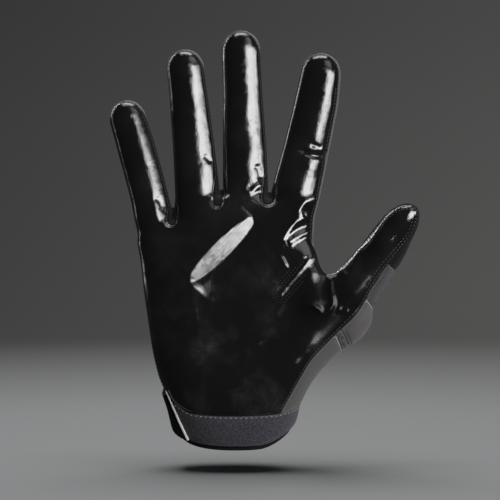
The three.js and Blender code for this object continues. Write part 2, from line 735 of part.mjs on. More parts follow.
function addPiping() {
  const points = [];
  for (let i = 0; i <= PIPING.steps; i += 1) {
    const t = THREE.MathUtils.lerp(PIPING.start, PIPING.end, i / PIPING.steps);
    const x = THREE.MathUtils.lerp(STRAP.edgeX1, STRAP.edgeX2, t) + PIPING.aside;
    const z = THREE.MathUtils.lerp(STRAP.edgeZ1, STRAP.edgeZ2, t);
    points.push(onPalmFace(x, z, PIPING.radius + SEAM_GAP));
  }
  const section = new THREE.Shape().absarc(0, 0, PIPING.radius, 0, 2 * Math.PI);
  const geometry = new THREE.ExtrudeGeometry(section, {
    steps: PIPING.steps,
    curveSegments: PIPING.sides / 2,
    bevelEnabled: false,
    extrudePath: new THREE.CatmullRomCurve3(points),
  });
  addPiece("white_piping", geometry, "white_piping");
}

addHandPanels();
addThumbPanels();
addCuff();
addStrap();
addPiping();

export default glove;
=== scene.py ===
"""Looks of a right-hand football glove: coated palm, cloth back, panelled thumb, knit cuff."""
import json

import bpy
import numpy as np
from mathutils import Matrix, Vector
from mathutils.bvhtree import BVHTree
from mathutils.kdtree import KDTree


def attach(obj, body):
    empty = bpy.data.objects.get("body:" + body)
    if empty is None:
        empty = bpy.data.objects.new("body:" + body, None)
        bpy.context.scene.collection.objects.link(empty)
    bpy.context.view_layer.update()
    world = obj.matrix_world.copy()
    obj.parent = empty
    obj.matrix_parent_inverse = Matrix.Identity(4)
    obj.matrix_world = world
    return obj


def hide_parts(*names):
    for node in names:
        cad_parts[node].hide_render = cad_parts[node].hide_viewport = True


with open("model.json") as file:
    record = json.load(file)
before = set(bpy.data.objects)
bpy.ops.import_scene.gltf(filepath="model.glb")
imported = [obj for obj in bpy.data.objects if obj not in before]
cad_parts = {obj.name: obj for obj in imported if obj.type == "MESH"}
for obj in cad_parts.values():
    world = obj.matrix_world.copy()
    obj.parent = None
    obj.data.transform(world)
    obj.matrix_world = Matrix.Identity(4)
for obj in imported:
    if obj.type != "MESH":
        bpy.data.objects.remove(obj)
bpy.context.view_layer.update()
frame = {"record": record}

# Lengths are millimetres in the glove's pattern frame, and go to the row frame, in metres, when
# a mesh is made. x runs to the thumb, y out of the back of the hand, z up to the fingertips.
# v is the depth in the glove laid flat, so negative at the palm.
MM = 0.001
OPENING = np.array([0, 5.9, -3.3])

# The skin: sections of the palm and of each digit, as in the part's solids.
PALM_SQUARENESS = 2.35
PALM_ROWS = (
    ("z", "left", "right", "deep"),
    (-22, -29.0, 29.0, 20.0),
    (0, -32.2, 31.6, 20.6),
    (16, -36.0, 32.6, 19.6),
    (26, -39.6, 33.0, 18.6),
    (39, -42.9, 35.0, 17.4),
    (55, -45.5, 38.4, 16.2),
    (70, -47.8, 40.4, 15.2),
    (84, -49.4, 40.6, 14.2),
    (99, -51.4, 40.0, 12.4),
    (112, -51.5, 39.0, 10.6),
    (126, -50.0, 38.0, 9.2),
    (140, -50.0, 38.0, 8.6),
)
CROTCH_ROWS = (("x", "z"), (-62, 92), (-33, 105), (-8.6, 118.5), (17, 116.5), (46, 104))
CROTCH_ROUNDING = 5
DIGIT_COLUMNS = ("h", "wide", "deep", "shift")
DIGITS = {
    "pinky": {"x": -42.4, "z": 104, "lean": -15.05, "cap_at": 56.6, "cap": 9.2, "rows": (
        DIGIT_COLUMNS, (-22, 10.2, 8.8, 0), (4, 10.1, 8.5, 0.6), (14, 10.1, 8.2, 1.3),
        (40, 10.1, 7.9, 1.5), (52, 9.8, 7.5, 1.2), (60, 9.3, 7.2, 0.8))},
    "ring": {"x": -19.8, "z": 114.4, "lean": -5.45, "cap_at": 69.3, "cap": 10.4, "rows": (
        DIGIT_COLUMNS, (-24, 12.6, 9.4, -0.5), (-6, 12.9, 9.1, -0.5), (4, 12.1, 9.0, 0.2),
        (13, 11.8, 8.8, 0.5), (29, 11.2, 8.5, 0.7), (45, 10.7, 8.2, 0.7), (58, 10.2, 8.0, 0.6),
        (72, 9.9, 7.6, 0.3))},
    "middle": {"x": 4.7, "z": 115.4, "lean": -1.77, "cap_at": 77.2, "cap": 10.8, "rows": (
        DIGIT_COLUMNS, (-24, 12.0, 9.8, 0), (0, 12.2, 9.4, 0.3), (12, 12.1, 9.1, 0.6),
        (28, 11.7, 8.8, 0.7), (44, 11.1, 8.5, 0.6), (55, 10.6, 8.3, 0.6), (74, 10.3, 7.9, 0.4),
        (80, 10.1, 7.7, 0.3))},
    "index": {"x": 29.5, "z": 114.4, "lean": 12.1, "cap_at": 68.1, "cap": 11.0, "rows": (
        DIGIT_COLUMNS, (-24, 12.4, 10.0, -1), (0, 12.8, 9.6, 0.1), (13, 12.7, 9.2, 0.4),
        (29, 12.1, 8.8, 0.7), (45, 11.7, 8.5, 0.8), (56, 11.4, 8.3, 0.7), (70, 10.5, 7.8, -0.2))},
    "thumb": {"x": 53.6, "z": 60.5, "lean": 36.6, "cap_at": 50.5, "cap": 14.2, "rows": (
        DIGIT_COLUMNS, (-62, 10.5, 13.0, -3.0), (-48, 12.0, 14.4, -2.4), (-25, 13.4, 15.2, -1.2),
        (-12, 14.8, 14.6, 0.8), (1, 15.0, 13.4, 1.2), (10, 14.0, 12.2, 0.4), (17, 13.0, 11.3, 0.4),
        (30, 11.5, 10.2, 0.4), (42, 10.5, 9.5, -0.2), (51, 9.3, 9.1, -1.3), (60, 8.4, 8.6, -1.5))},
}
FINGERS = ("pinky", "ring", "middle", "index")
ROOT_CAP = 8
FINGER_BLEND = 3.5
THUMB_BLEND = 12
WRIST_BEND = {"start": 35, "rate": 0.004}
FINGER_CURL = {"start": 115, "rate": -0.0011}
THUMB_REACH = {"start": -20, "rate": -0.0026, "near": -30, "full": -12}
# Raised and sunk places: face, x1, z1, x2, z2, wide, high. The front is the palm's face alone,
# clear of its edges.
RIDGES = (
    ("palm", 34, 34, 40, 50, 16, 1.2),
    ("palm", -30, 28, -34, 74, 14, 1.8),
    ("front", 4, 40, 4, 64, 17, -1.0),
    ("front", 39, 66, 39, 86, 9.5, 3.4),
    ("front", -27, 71, -27, 71, 14, 0.4),
    ("front", 36, 122, 36, 122, 9, 1.0),
    ("front", 40, 134, 50.5, 180, 6, 1.0),
    ("front", 60, 71, 60, 71, 13, 2.0),
    ("front", 49.2, 62, 49.2, 78, 5, 0.4),
    ("front", 74, 94, 74, 94, 8, 2.2),
    ("front", 29, 56, 31, 84, 10, 0.8),
    ("front", 21, 57, 21, 57, 11, 0.9),
    ("front", 41, 92, 41, 80, 5, 0.7),
    ("front", 15.5, 111, 15.5, 111, 7, 0.5),
    ("front", 12.5, 147, 12.5, 147, 5, 0.55),
    ("front", -11.5, 135, -11.5, 135, 4.5, 0.45),
    ("palm", 34, 141, 47, 139, 2.2, -0.6),
    ("back", -34, 112, -28, 104, 9, 1.2),
    ("back", -14, 117, -12, 106, 9, 1.4),
    ("back", 6, 118, 6, 106, 9, 1.5),
    ("back", 27, 114, 25, 103, 9, 1.3),
)
# Each face's side of the hand, and the depths v where its places start and stand in full.
FACES = {"palm": (-1, 0, 4), "front": (-1, 3, 9), "back": (1, 0, 4)}
# The leaf-shaped place across the upper palm where the coating is drawn tight, falling away
# to the lower right: its middle, turn, half lengths, slopes across and along, and the bands in
# which it fades out.
TAUT = {"x": -7.3, "z": 91.0, "turn": 44.6, "long": 22.8, "wide": 4.5, "slope": 0.265,
        "lean": 0.05, "reach": 11, "end": 3, "soft": 0.6}
KNUCKLE_PAD = {"h": -1.5, "u": 17, "long": 9.5, "wide": 9, "high": 2.3}

# Seams between the panels, as in the part's solids.
PALM_SEAM = -2.5
BACK_SEAM = 3.2
STRIP_END = {"start": 4, "full": 17, "under": 1}
STRIPS = {
    "side_strip_ring_pinky": ("pinky", "ring"),
    "side_strip_middle_ring": ("ring", "middle"),
    "side_strip_index_middle": ("middle", "index"),
}
THUMB_SEAM = (
    ("h", "u"), (-64, 8.0), (-54, 6.6), (-42, 5.0), (-30, 3.8), (-16, 5.3), (-5, 7.0), (6, 8.2),
    (17, 6.8), (29, 6.0), (42, 6.2), (52, 6.2), (60, 3.6),
)
THUMB_ROOT = (("h", "u"), (-64, -3), (-30, -6), (10, -17), (30, -27))
THUMB_CUTS = {
    "tip_to_rib": (32.5, 0),
    "rib_to_pad": (12, -0.25),
    "pad_to_heather": (-9, -0.47),
    "heather_to_base": (-13, -0.55),
}
CUT_AT_U = 8
CUFF_TOP = {"z": 5.6, "at_y": -17, "slope": 0.27, "rise": 4.5, "start": -22, "full": -36}
CUFF_RIM = {"z": -9.8, "at_y": -11.3, "slope": 0.46, "rise": 6, "start": 12, "full": 36}
LINING = {"below": 4.1, "above": 7, "depth": 2.24}
STRAP = {"x1": -36.6, "z1": 18.2, "x2": -25.2, "z2": -6.8, "end": 14, "inset": 1.0, "gap": 0.6,
         "rise": 3.0, "start": 8, "full": -30}
PIPING = {"radius": 0.75, "thin": 0.4, "thick_from": 0.7, "aside": 1.15, "lift": 0.3}
# The lining and the strap are cut from the skin below this height.
WRIST_TOP = 32

# At the foot of each gap the palm is cut out in a narrow U, which the side strip fills.
# Each has the middle of its round end, the crotch above it and half its width.
NOTCHES = {
    "side_strip_ring_pinky": (-33.0, 105.2, -32.6, 112, 1.5),
    "side_strip_middle_ring": (-9.6, 115.0, -8.2, 126, 1.9),
    "side_strip_index_middle": (16.6, 116.4, 17.4, 126, 2.3),
}

# The grid that samples the skin, and how near a seam its corners are moved onto it, in cells.
CELL = 0.76
BOX_LOW = (-68, -44, -24)
BOX_HIGH = (104, 34, 212)
SNAP = 0.36
# A cut this near a corner, as a share of its side, runs through the corner.
ON_CORNER = 1e-4

# Thickness of each wall, the gap in a seam, and how far a panel's edge is rounded over.
KNIT_WALL = 1.4
WALLS = {"palm_panel": 1.3, "cuff_band": 1.9, "cuff_lining": 1.0, "closing_strap": 1.4}
SEAM_GAP = 0.16
EDGE_ROUND = 0.36
EDGE_REACH = 1.6

# Guards against division by nothing, and the least steepness that a step onto a surface uses.
TINY = 1e-9
SMALL = 1e-6
LEAST_STEEP = 0.05
LEAST_STEEP_SEAM = 0.02


def smoothstep(start, end, at):
    t = np.clip((at - start) / (end - start), 0, 1)
    return t * t * (3 - 2 * t)


def along_line(x, z, x1, z1, x2, z2):
    """The share of a line's length at each place's foot on it, and the distance to it."""
    dx, dz = x2 - x1, z2 - z1
    t = np.clip(((x - x1) * dx + (z - z1) * dz) / max(dx * dx + dz * dz, TINY), 0, 1)
    return t, np.hypot(x - x1 - t * dx, z - z1 - t * dz)


def smooth_min(a, b, blend):
    near = np.maximum(blend - np.abs(a - b), 0) / blend
    return np.minimum(a, b) - near * near * blend / 4


def smooth_max(a, b, blend):
    return -smooth_min(-a, -b, blend)


def column(rows, key, name, at):
    """A table's named column at each value of its key, on a smooth curve through the rows."""
    names = rows[0]
    keys = np.array([row[names.index(key)] for row in rows[1:]], float)
    values = np.array([row[names.index(name)] for row in rows[1:]], float)
    at = np.clip(at, keys[0], keys[-1])
    i = np.clip(np.searchsorted(keys, at, side="right") - 1, 0, len(keys) - 2)
    low = np.maximum(np.arange(len(keys)) - 1, 0)
    high = np.minimum(np.arange(len(keys)) + 1, len(keys) - 1)
    slopes = (values[high] - values[low]) / (keys[high] - keys[low])
    span = keys[i + 1] - keys[i]
    t = (at - keys[i]) / span
    t2, t3 = t * t, t * t * t
    start = (2 * t3 - 3 * t2 + 1) * values[i] + (t3 - 2 * t2 + t) * span * slopes[i]
    end = (3 * t2 - 2 * t3) * values[i + 1] + (t3 - t2) * span * slopes[i + 1]
    return start + end


def on_digit(name, x, z):
    """Height along a digit's axis and distance across it."""
    digit = DIGITS[name]
    lean = np.radians(digit["lean"])
    dx, dz = x - digit["x"], z - digit["z"]
    return dx * np.sin(lean) + dz * np.cos(lean), dx * np.cos(lean) - dz * np.sin(lean)


def ellipsoid_distance(a, half_a, b, half_b, c, half_c):
    near = np.sqrt((a / half_a) ** 2 + (b / half_b) ** 2 + (c / half_c) ** 2)
    steep = np.sqrt((a / half_a**2) ** 2 + (b / half_b**2) ** 2 + (c / half_c**2) ** 2)
    inside = near * (near - 1) / np.maximum(steep, SMALL)
    return np.where(steep < SMALL, -np.minimum(half_a, half_b), inside)


def digit_distance(name, x, v, z):
    digit = DIGITS[name]
    h, u = on_digit(name, x, z)
    wide, deep, shift = (column(digit["rows"], "h", c, h) for c in DIGIT_COLUMNS[1:])
    past_tip = np.maximum(0, h - digit["cap_at"])
    past_root = np.maximum(0, digit["rows"][1][0] - h)
    cap = np.where(past_tip > 0, digit["cap"], ROOT_CAP)
    return ellipsoid_distance(u - shift, wide, v, deep, past_tip + past_root, cap)


def palm_distance(x, v, z):
    left, right, deep = (column(PALM_ROWS, "z", c, z) for c in PALM_ROWS[0][1:])
    half = (right - left) / 2
    u = np.abs(x - (left + right) / 2) + SMALL
    w = np.abs(v) + SMALL
    n = PALM_SQUARENESS
    near = ((u / half) ** n + (w / deep) ** n) ** (1 / n)
    steep = np.hypot(u ** (n - 1) / half**n, w ** (n - 1) / deep**n) * near ** (1 - n)
    side = (near - 1) / steep
    return smooth_max(side, z - column(CROTCH_ROWS, "x", "z", x), CROTCH_ROUNDING)


def bend_at(x, z):
    """How far the open hand stands off the flat pattern, in y."""
    wrist = WRIST_BEND["rate"] * np.maximum(0, WRIST_BEND["start"] - z) ** 2
    curl = FINGER_CURL["rate"] * np.maximum(0, z - FINGER_CURL["start"]) ** 2
    h, u = on_digit("thumb", x, z)
    on_thumb = smoothstep(THUMB_REACH["near"], THUMB_REACH["full"], u)
    reach = THUMB_REACH["rate"] * np.maximum(0, h - THUMB_REACH["start"]) ** 2
    return wrist + curl * (1 - on_thumb) + reach * on_thumb


def on_taut(x, z):
    """Distances along and across the taut leaf, and its half width there."""
    turn = np.radians(TAUT["turn"])
    dx, dz = x - TAUT["x"], z - TAUT["z"]
    along = dx * np.cos(turn) + dz * np.sin(turn)
    across = dx * np.sin(turn) - dz * np.cos(turn)
    half = TAUT["wide"] * np.sqrt(np.maximum(1 - (along / TAUT["long"]) ** 2, SMALL))
    return along, across, half


def taut_height(x, z):
    along, across, half = on_taut(x, z)
    long = TAUT["long"]
    beyond = np.hypot(np.maximum(np.abs(across) - half, 0), np.maximum(np.abs(along) - long, 0))
    fall = TAUT["slope"] * np.clip(across, -half, half) + TAUT["lean"] * np.clip(along, -long, long)
    return -fall * np.exp(-((beyond / TAUT["reach"]) ** 2))


def relief_at(x, v, z):
    relief = 0
    for face, x1, z1, x2, z2, wide, high in RIDGES:
        away = along_line(x, z, x1, z1, x2, z2)[1] / wide
        side, start, full = FACES[face]
        relief = relief + high * np.exp(-away * away) * smoothstep(start, full, side * v)
    relief = relief + taut_height(x, z) * smoothstep(*FACES["front"][1:], -v)
    h, u = on_digit("thumb", x, z)
    pad = KNUCKLE_PAD
    off = np.hypot((h - pad["h"]) / pad["long"], (u - pad["u"]) / pad["wide"])
    return relief + pad["high"] * np.exp(-(off**4))


def skin_distance(x, y, z):
    v = y - bend_at(x, z)
    fingers = np.minimum.reduce([digit_distance(name, x, v, z) for name in FINGERS])
    hand = smooth_min(palm_distance(x, v, z), fingers, FINGER_BLEND)
    whole = smooth_min(hand, digit_distance("thumb", x, v, z), THUMB_BLEND)
    return whole - relief_at(x, v, z)


def slope_of(field, points, step=0.05):
    """The field's gradient at each point."""
    x, y, z = points.T
    return np.stack([
        field(x + step, y, z) - field(x - step, y, z),
        field(x, y + step, z) - field(x, y - step, z),
        field(x, y, z + step) - field(x, y, z - step),
    ], 1) / (2 * step)


def unit(vectors):
    return vectors / np.maximum(np.linalg.norm(vectors, axis=-1, keepdims=True), TINY)


def onto_skin(points, rounds=2):
    for _ in range(rounds):
        slope = slope_of(skin_distance, points)
        steep = np.maximum((slope * slope).sum(1), LEAST_STEEP)
        step = skin_distance(*points.T)[:, None] * slope / steep[:, None]
        longest = np.linalg.norm(step, axis=1, keepdims=True)
        points = points - step * np.minimum(1, CELL / np.maximum(longest, TINY))
    return points


# Seam fields: each is negative on its first-named side.


def palm_over_back(x, y, z):
    h, u = on_digit("thumb", x, z)
    v = y - bend_at(x, z)
    return smooth_max(v - PALM_SEAM, u - column(THUMB_SEAM, "h", "u", h), 2)


def thumb_over_back(x, y, z):
    h, u = on_digit("thumb", x, z)
    return column(THUMB_ROOT, "h", "u", h) - u


def thumb_cut(name):
    height, slope = THUMB_CUTS[name]

    def above(x, y, z):
        h, u = on_digit("thumb", x, z)
        return height + slope * (u - CUT_AT_U) - h
    return above


def cuff_over_hand(x, y, z):
    rise = CUFF_TOP["rise"] * smoothstep(CUFF_TOP["start"], CUFF_TOP["full"], x)
    return z - CUFF_TOP["z"] - CUFF_TOP["slope"] * (y - CUFF_TOP["at_y"]) - rise


def above_rim(x, y, z):
    rise = CUFF_RIM["rise"] * smoothstep(CUFF_RIM["start"], CUFF_RIM["full"], x)
    return CUFF_RIM["z"] + CUFF_RIM["slope"] * (y - CUFF_RIM["at_y"]) + rise - z


def between_fingers(pair, x, z):
    return np.maximum(-on_digit(pair[0], x, z)[1], on_digit(pair[1], x, z)[1])


def strip_over_back(pair):
    def front_of_seam(x, y, z):
        v = y - bend_at(x, z)
        (near_h, near_u), (far_h, far_u) = (on_digit(name, x, z) for name in pair)
        near_tip, far_tip = (DIGITS[name]["cap_at"] + DIGITS[name]["cap"] for name in pair)
        to_tip = np.where(near_u < -far_u, near_tip - near_h, far_tip - far_h)
        full = smoothstep(STRIP_END["start"], STRIP_END["full"], to_tip)
        under = STRIP_END["under"]
        return v - PALM_SEAM + under - (BACK_SEAM - PALM_SEAM + under) * full
    return front_of_seam


def notch(name):
    *line, half = NOTCHES[name]

    def inside(x, y, z):
        return along_line(x, z, *line)[1] - half
    return inside


def beside_line(x, z, x1, z1, x2, z2):
    """The distance to the left of an endless line."""
    dx, dz = x2 - x1, z2 - z1
    return ((z - z1) * dx - (x - x1) * dz) / np.hypot(dx, dz)


def below_strap_top(x, y, z):
    rise = STRAP["rise"] * smoothstep(STRAP["start"], STRAP["full"], x)
    return cuff_over_hand(x, y, z) - rise


def past_piping(x, z):
    return beside_line(x, z, *(STRAP[key] for key in ("x1", "z1", "x2", "z2")))


# Finer folds of the coated palm: points (x, z) of each line, half its width and its height.
FOLDS = (
    (((49.2, 78.4), (48.4, 71.3), (49.5, 63.1), (45.4, 58.0), (42.2, 60.4), (38.9, 62.5),
      (36.2, 62.7), (32.8, 59.9)), 1.2, 0.75),
    (((51.5, 78.7), (54.6, 79.0), (57.8, 76.8), (60.0, 81.3), (61.8, 87.9), (65.6, 93.6)), 1.4, 0.35),
    (((52.9, 61.0), (52.8, 58.5)), 0.8, 0.4),
    (((57.1, 60.0), (56.9, 56.9)), 0.8, 0.4),
    (((22.4, 87.9), (24.4, 84.9), (26.2, 81.3)), 0.9, 0.45),
    (((30.6, 107.6), (34.7, 114.1), (38.1, 115.9), (41.5, 117.0)), 2.4, 1.3),
    (((22.9, 93.6), (26.7, 100.2), (30.8, 104.8), (36.0, 107.4)), 2.2, 1.3),
    (((26.5, 93.8), (31.9, 97.4), (38.5, 100.4)), 1.9, 1.0),
    (((33.5, 141.6), (39.2, 139.0), (45.5, 138.6)), 1.1, -0.7),
    (((33.0, 143.6), (42.3, 142.2), (48.7, 141.5)), 1.0, 0.4),
    (((4.2, 123.8), (7.3, 120.3), (13.5, 125.0)), 1.5, 0.6),
    (((-11.6, 158.0), (-10.6, 150.0), (-11.0, 142.0)), 1.4, 0.4),
    (((-50.5, 97.7), (-45.1, 95.3), (-40.3, 95.9)), 1.3, 0.5),
    (((10.6, 134.5), (12.4, 130.5), (12.6, 127.0)), 1.7, -0.55),
    (((-16.0, 139.5), (-14.2, 137.5), (-12.5, 135.5)), 1.2, -0.45),
    (((38.6, 144.4), (41.0, 143.4), (43.4, 141.8)), 1.7, -0.6),
    (((-40.8, 118.0), (-38.6, 114.5), (-37.8, 111.5)), 1.2, -0.4),
    (((-22.8, 76.2), (-21.0, 60.0), (-19.0, 40.0), (-17.1, 7.6)), 1.6, 0.12),
)
# Where a fold reaches its full height, as shares of its length from either end, and its least.
FOLD_ENDS = 0.12
FOLD_LEAST = 0.25
# The dart below the index finger, from its foot up, with a groove beside its ridge.
DART = (22.9, 68.1, 38.0, 85.8)
TUCK = {"high": 0.32, "middle": 0.3, "half": 1.0, "groove": 0.12, "aside": 1.6, "narrow": 0.6,
        "reach": 1.2, "gone": 2.4}
# Folds and dents fade out between these depths v, at the palm's edge.
FOLD_DEPTHS = (1, -3)
# Where the coating is worn matt, at the thumb's root.
WORN = {"x": 47, "z": 62, "wide": 18, "high": 20}

# The cloth's slight unevenness: wavelength, height and seed of each set of waves.
UNEVEN = ((34, 0.1, 3), (15, 0.05, 5), (7, 0.022, 8))
WAVES = 9
LENGTH_SPREAD = (0.75, 1.3)
# The waves' share on the taut leaf, and the distance from it where they are in full.
TAUT_SHARE = 0.25
TAUT_REACH = 8


def spline(points, steps=8):
    """A smooth line through the points."""
    p = np.array(points, float)
    p = np.vstack([2 * p[0] - p[1], p, 2 * p[-1] - p[-2]])
    t = np.linspace(0, 1, steps, endpoint=False)[:, None]
    runs = []
    for a, b, c, d in zip(p, p[1:], p[2:], p[3:]):
        square, cube = 2 * a - 5 * b + 4 * c - d, 3 * b - a - 3 * c + d
        runs.append(0.5 * (2 * b + (c - a) * t + square * t**2 + cube * t**3))
    return np.vstack([*runs, p[-2:-1]])


def unevenness(points):
    """Gentle waves over the cloth, from fixed seeds."""
    height = np.zeros(len(points))
    for length, high, seed in UNEVEN:
        rng = np.random.default_rng(seed)
        ways = unit(rng.normal(size=(WAVES, 3)))
        ways = ways * (2 * np.pi / (length * rng.uniform(*LENGTH_SPREAD, (WAVES, 1))))
        phases = rng.uniform(0, 2 * np.pi, WAVES)
        for way, phase in zip(ways, phases):
            height += high / WAVES**0.5 * np.sin(points @ way + phase)
    _, across, half = on_taut(points[:, 0], points[:, 2])
    off_leaf = smoothstep(0, TAUT_REACH, np.abs(across) - half)
    return height * (TAUT_SHARE + (1 - TAUT_SHARE) * off_leaf)


def tuck_height(x, z):
    """The dart's ridge and the groove beside it."""
    t, away = along_line(x, z, *DART)
    side = beside_line(x, z, *DART)
    ridge = (TUCK["high"] + TUCK["middle"] * t * (1 - t)) * np.exp(-((away / TUCK["half"]) ** 2))
    groove = TUCK["groove"] * np.exp(-(((side - TUCK["aside"]) / TUCK["narrow"]) ** 2))
    return ridge - groove * smoothstep(TUCK["gone"], TUCK["reach"], away)


def fold_height(points):
    """The folds' height at points of the palm's face."""
    height = np.zeros(len(points))
    flat = points[:, [0, 2]]
    for line, half, high in FOLDS:
        path = spline(line)
        least, most = path.min(0) - 3 * half, path.max(0) + 3 * half
        near = np.flatnonzero(((flat > least) & (flat < most)).all(1))
        if not len(near):
            continue
        away = np.full(len(near), 1e9)
        along = np.zeros(len(near))
        for k, (a, b) in enumerate(zip(path, path[1:])):
            t = np.clip((flat[near] - a) @ (b - a) / ((b - a) @ (b - a)), 0, 1)
            gap = np.linalg.norm(flat[near] - a - t[:, None] * (b - a), axis=1)
            closer = gap < away
            away[closer] = gap[closer]
            along[closer] = (k + t[closer]) / (len(path) - 1)
        ends = smoothstep(0, FOLD_ENDS, along) * smoothstep(1, 1 - FOLD_ENDS, along)
        full = FOLD_LEAST + (1 - FOLD_LEAST) * ends
        height[near] += high * np.exp(-((away / half) ** 2)) * full
    height += tuck_height(*flat.T)
    v = points[:, 1] - bend_at(*flat.T)
    return height * smoothstep(*FOLD_DEPTHS, v)


# The skin's mesh and how it is cut into panels.


def surface_net(values, low, cell):
    """Corners and four-sided faces where sampled values change sign, negative inside."""
    shape = np.array(values.shape)
    inside = values < 0
    corners, faces = [], []
    for axis in range(3):
        before = tuple(slice(0, -1) if k == axis else slice(None) for k in range(3))
        after = tuple(slice(1, None) if k == axis else slice(None) for k in range(3))
        at = np.argwhere(inside[before] != inside[after])
        step = np.eye(3, dtype=int)
        f0 = values[tuple(at.T)]
        f1 = values[tuple((at + step[axis]).T)]
        cross = at + (f0 / (f0 - f1))[:, None] * step[axis]
        b, c = step[(axis + 1) % 3], step[(axis + 2) % 3]
        ring = [at, at - b, at - b - c, at - c]
        whole = np.logical_and.reduce([(k >= 0).all(1) & (k < shape - 1).all(1) for k in ring])
        ids = np.stack([np.ravel_multi_index(k[whole].T, shape) for k in ring], 1)
        flip = ~inside[before][tuple(at[whole].T)]
        ids[flip] = ids[flip][:, ::-1]
        faces.append(ids)
        for k in ring:
            fits = (k >= 0).all(1) & (k < shape - 1).all(1)
            corners.append((np.ravel_multi_index(k[fits].T, shape), cross[fits]))
    ids = np.concatenate([c[0] for c in corners])
    places = np.vstack([c[1] for c in corners])
    used, where = np.unique(ids, return_inverse=True)
    count = np.bincount(where)
    points = np.stack([np.bincount(where, places[:, k]) / count for k in range(3)], 1)
    return np.array(low) + points * cell, np.searchsorted(used, np.vstack(faces))


def halved(points, quads):
    """Triangles from four-sided faces, each cut along its shorter diagonal."""
    a, b, c, d = quads.T
    one, other = (np.linalg.norm(points[p] - points[q], axis=1) for p, q in ((a, c), (b, d)))
    across = one <= other
    first = np.where(across[:, None], np.stack([a, b, c], 1), np.stack([a, b, d], 1))
    second = np.where(across[:, None], np.stack([a, c, d], 1), np.stack([b, c, d], 1))
    return np.vstack([first, second])


def smoothed(points, faces, rounds):
    """Evens the spacing of the corners, and puts them back onto the skin."""
    ends = np.vstack([faces[:, [0, 1]], faces[:, [1, 2]], faces[:, [2, 0]]])
    start, end = ends.T
    count = np.bincount(start, minlength=len(points))
    for _ in range(rounds):
        total = np.stack([np.bincount(start, points[end, k], len(points)) for k in range(3)], 1)
        points = onto_skin(0.5 * points + 0.5 * total / np.maximum(count, 1)[:, None], 1)
    return points


def make_skin():
    axes = [np.arange(a, b + CELL, CELL) for a, b in zip(BOX_LOW, BOX_HIGH)]
    x, y, z = np.meshgrid(*axes, indexing="ij", sparse=True)
    values = skin_distance(x, y, z).astype(np.float32)
    points, quads = surface_net(values, BOX_LOW, CELL)
    points = onto_skin(points, 3)
    triangles = halved(points, quads)
    lowest = points[:, 2] < BOX_LOW[2] + 3 * CELL
    rested = smoothed(points, triangles, 2)
    rested[lowest] = points[lowest]
    return {"points": rested, "faces": triangles, "fixed": np.zeros(len(points), bool)}


def settle_on(skin, used, field):
    """Moves the skin's corners that lie close to a seam onto it."""
    loose = used[~skin["fixed"][used]]
    near = loose[np.abs(field(*skin["points"][loose].T)) < 2 * CELL]
    points = skin["points"][near]
    slope = slope_of(field, points)
    normal = unit(slope_of(skin_distance, points))
    slope -= (slope * normal).sum(1, keepdims=True) * normal
    steep = np.maximum((slope * slope).sum(1), LEAST_STEEP_SEAM)
    step = field(*points.T)[:, None] * slope / steep[:, None]
    short = np.linalg.norm(step, axis=1) < SNAP * CELL
    moved = near[short]
    skin["points"][moved] = onto_skin(points[short] - step[short], 1)
    skin["fixed"][moved] = True
    return moved


def cut(skin, faces, field):
    """Cuts faces along a seam. Returns those below it and those above it."""
    used = np.unique(faces)
    moved = settle_on(skin, used, field)
    values = np.full(len(skin["points"]), np.nan)
    values[used] = field(*skin["points"][used].T)
    values[moved] = 0
    return split(skin, faces, values)


def split(skin, faces, values):
    """Cuts faces where the corners' values pass zero."""
    below = values[faces] < 0
    count = below.sum(1)
    mixed = (count == 1) | (count == 2)
    lone_below = count[mixed] == 1
    lone = np.where(lone_below, below[mixed].argmax(1), below[mixed].argmin(1))
    a, b, c = np.take_along_axis(faces[mixed], (lone[:, None] + [0, 1, 2]) % 3, 1).T
    crossed = np.sort(np.vstack([np.stack([a, b], 1), np.stack([a, c], 1)]), 1)
    edges, which = np.unique(crossed, axis=0, return_inverse=True)
    which = which.ravel()
    p, q = edges.T
    t = values[p] / (values[p] - values[q])
    points = skin["points"]
    fresh = len(points) + np.arange(len(edges))
    fresh = np.where(t < ON_CORNER, p, np.where(t > 1 - ON_CORNER, q, fresh))
    skin["points"] = np.vstack([points, points[p] + t[:, None] * (points[q] - points[p])])
    skin["fixed"] = np.concatenate([skin["fixed"], np.ones(len(edges), bool)])
    ab, ac = fresh[which[:len(a)]], fresh[which[len(a):]]
    corner = np.stack([a, ab, ac], 1)
    rest = np.vstack([np.stack([ab, b, c], 1), np.stack([ab, c, ac], 1)])
    twice = np.concatenate([lone_below, lone_below])
    low = np.vstack([faces[count == 3], corner[lone_below], rest[~twice]])
    high = np.vstack([faces[count == 0], corner[~lone_below], rest[twice]])
    return whole_faces(low), whole_faces(high)


def whole_faces(faces):
    a, b, c = faces.T
    return faces[(a != b) & (b != c) & (c != a)]


def largest(faces, count, share=0.02):
    """Leaves out loose scraps, smaller than a share of all the faces."""
    root = np.arange(count)
    while True:
        lowest = root[faces].min(1)
        new = root.copy()
        np.minimum.at(new, faces.ravel(), np.repeat(lowest, 3))
        new = new[new]
        if (new == root).all():
            break
        root = new
    _, which, sizes = np.unique(root[faces[:, 0]], return_inverse=True, return_counts=True)
    return faces[sizes[which] > share * len(faces)]


def rim_of(faces, count):
    """The directed edges that only one face has."""
    ends = np.vstack([faces[:, [0, 1]], faces[:, [1, 2]], faces[:, [2, 0]]])
    return ends[~np.isin(ends[:, 0] * count + ends[:, 1], ends[:, 1] * count + ends[:, 0])]


def nearest_on(points, line):
    """For each point the distance to a line of close points, and the nearest of them."""
    tree = KDTree(len(line))
    for k, p in enumerate(line):
        tree.insert(p, k)
    tree.balance()
    found = [tree.find(p) for p in points]
    return np.array([f[2] for f in found]), line[[f[1] for f in found]]


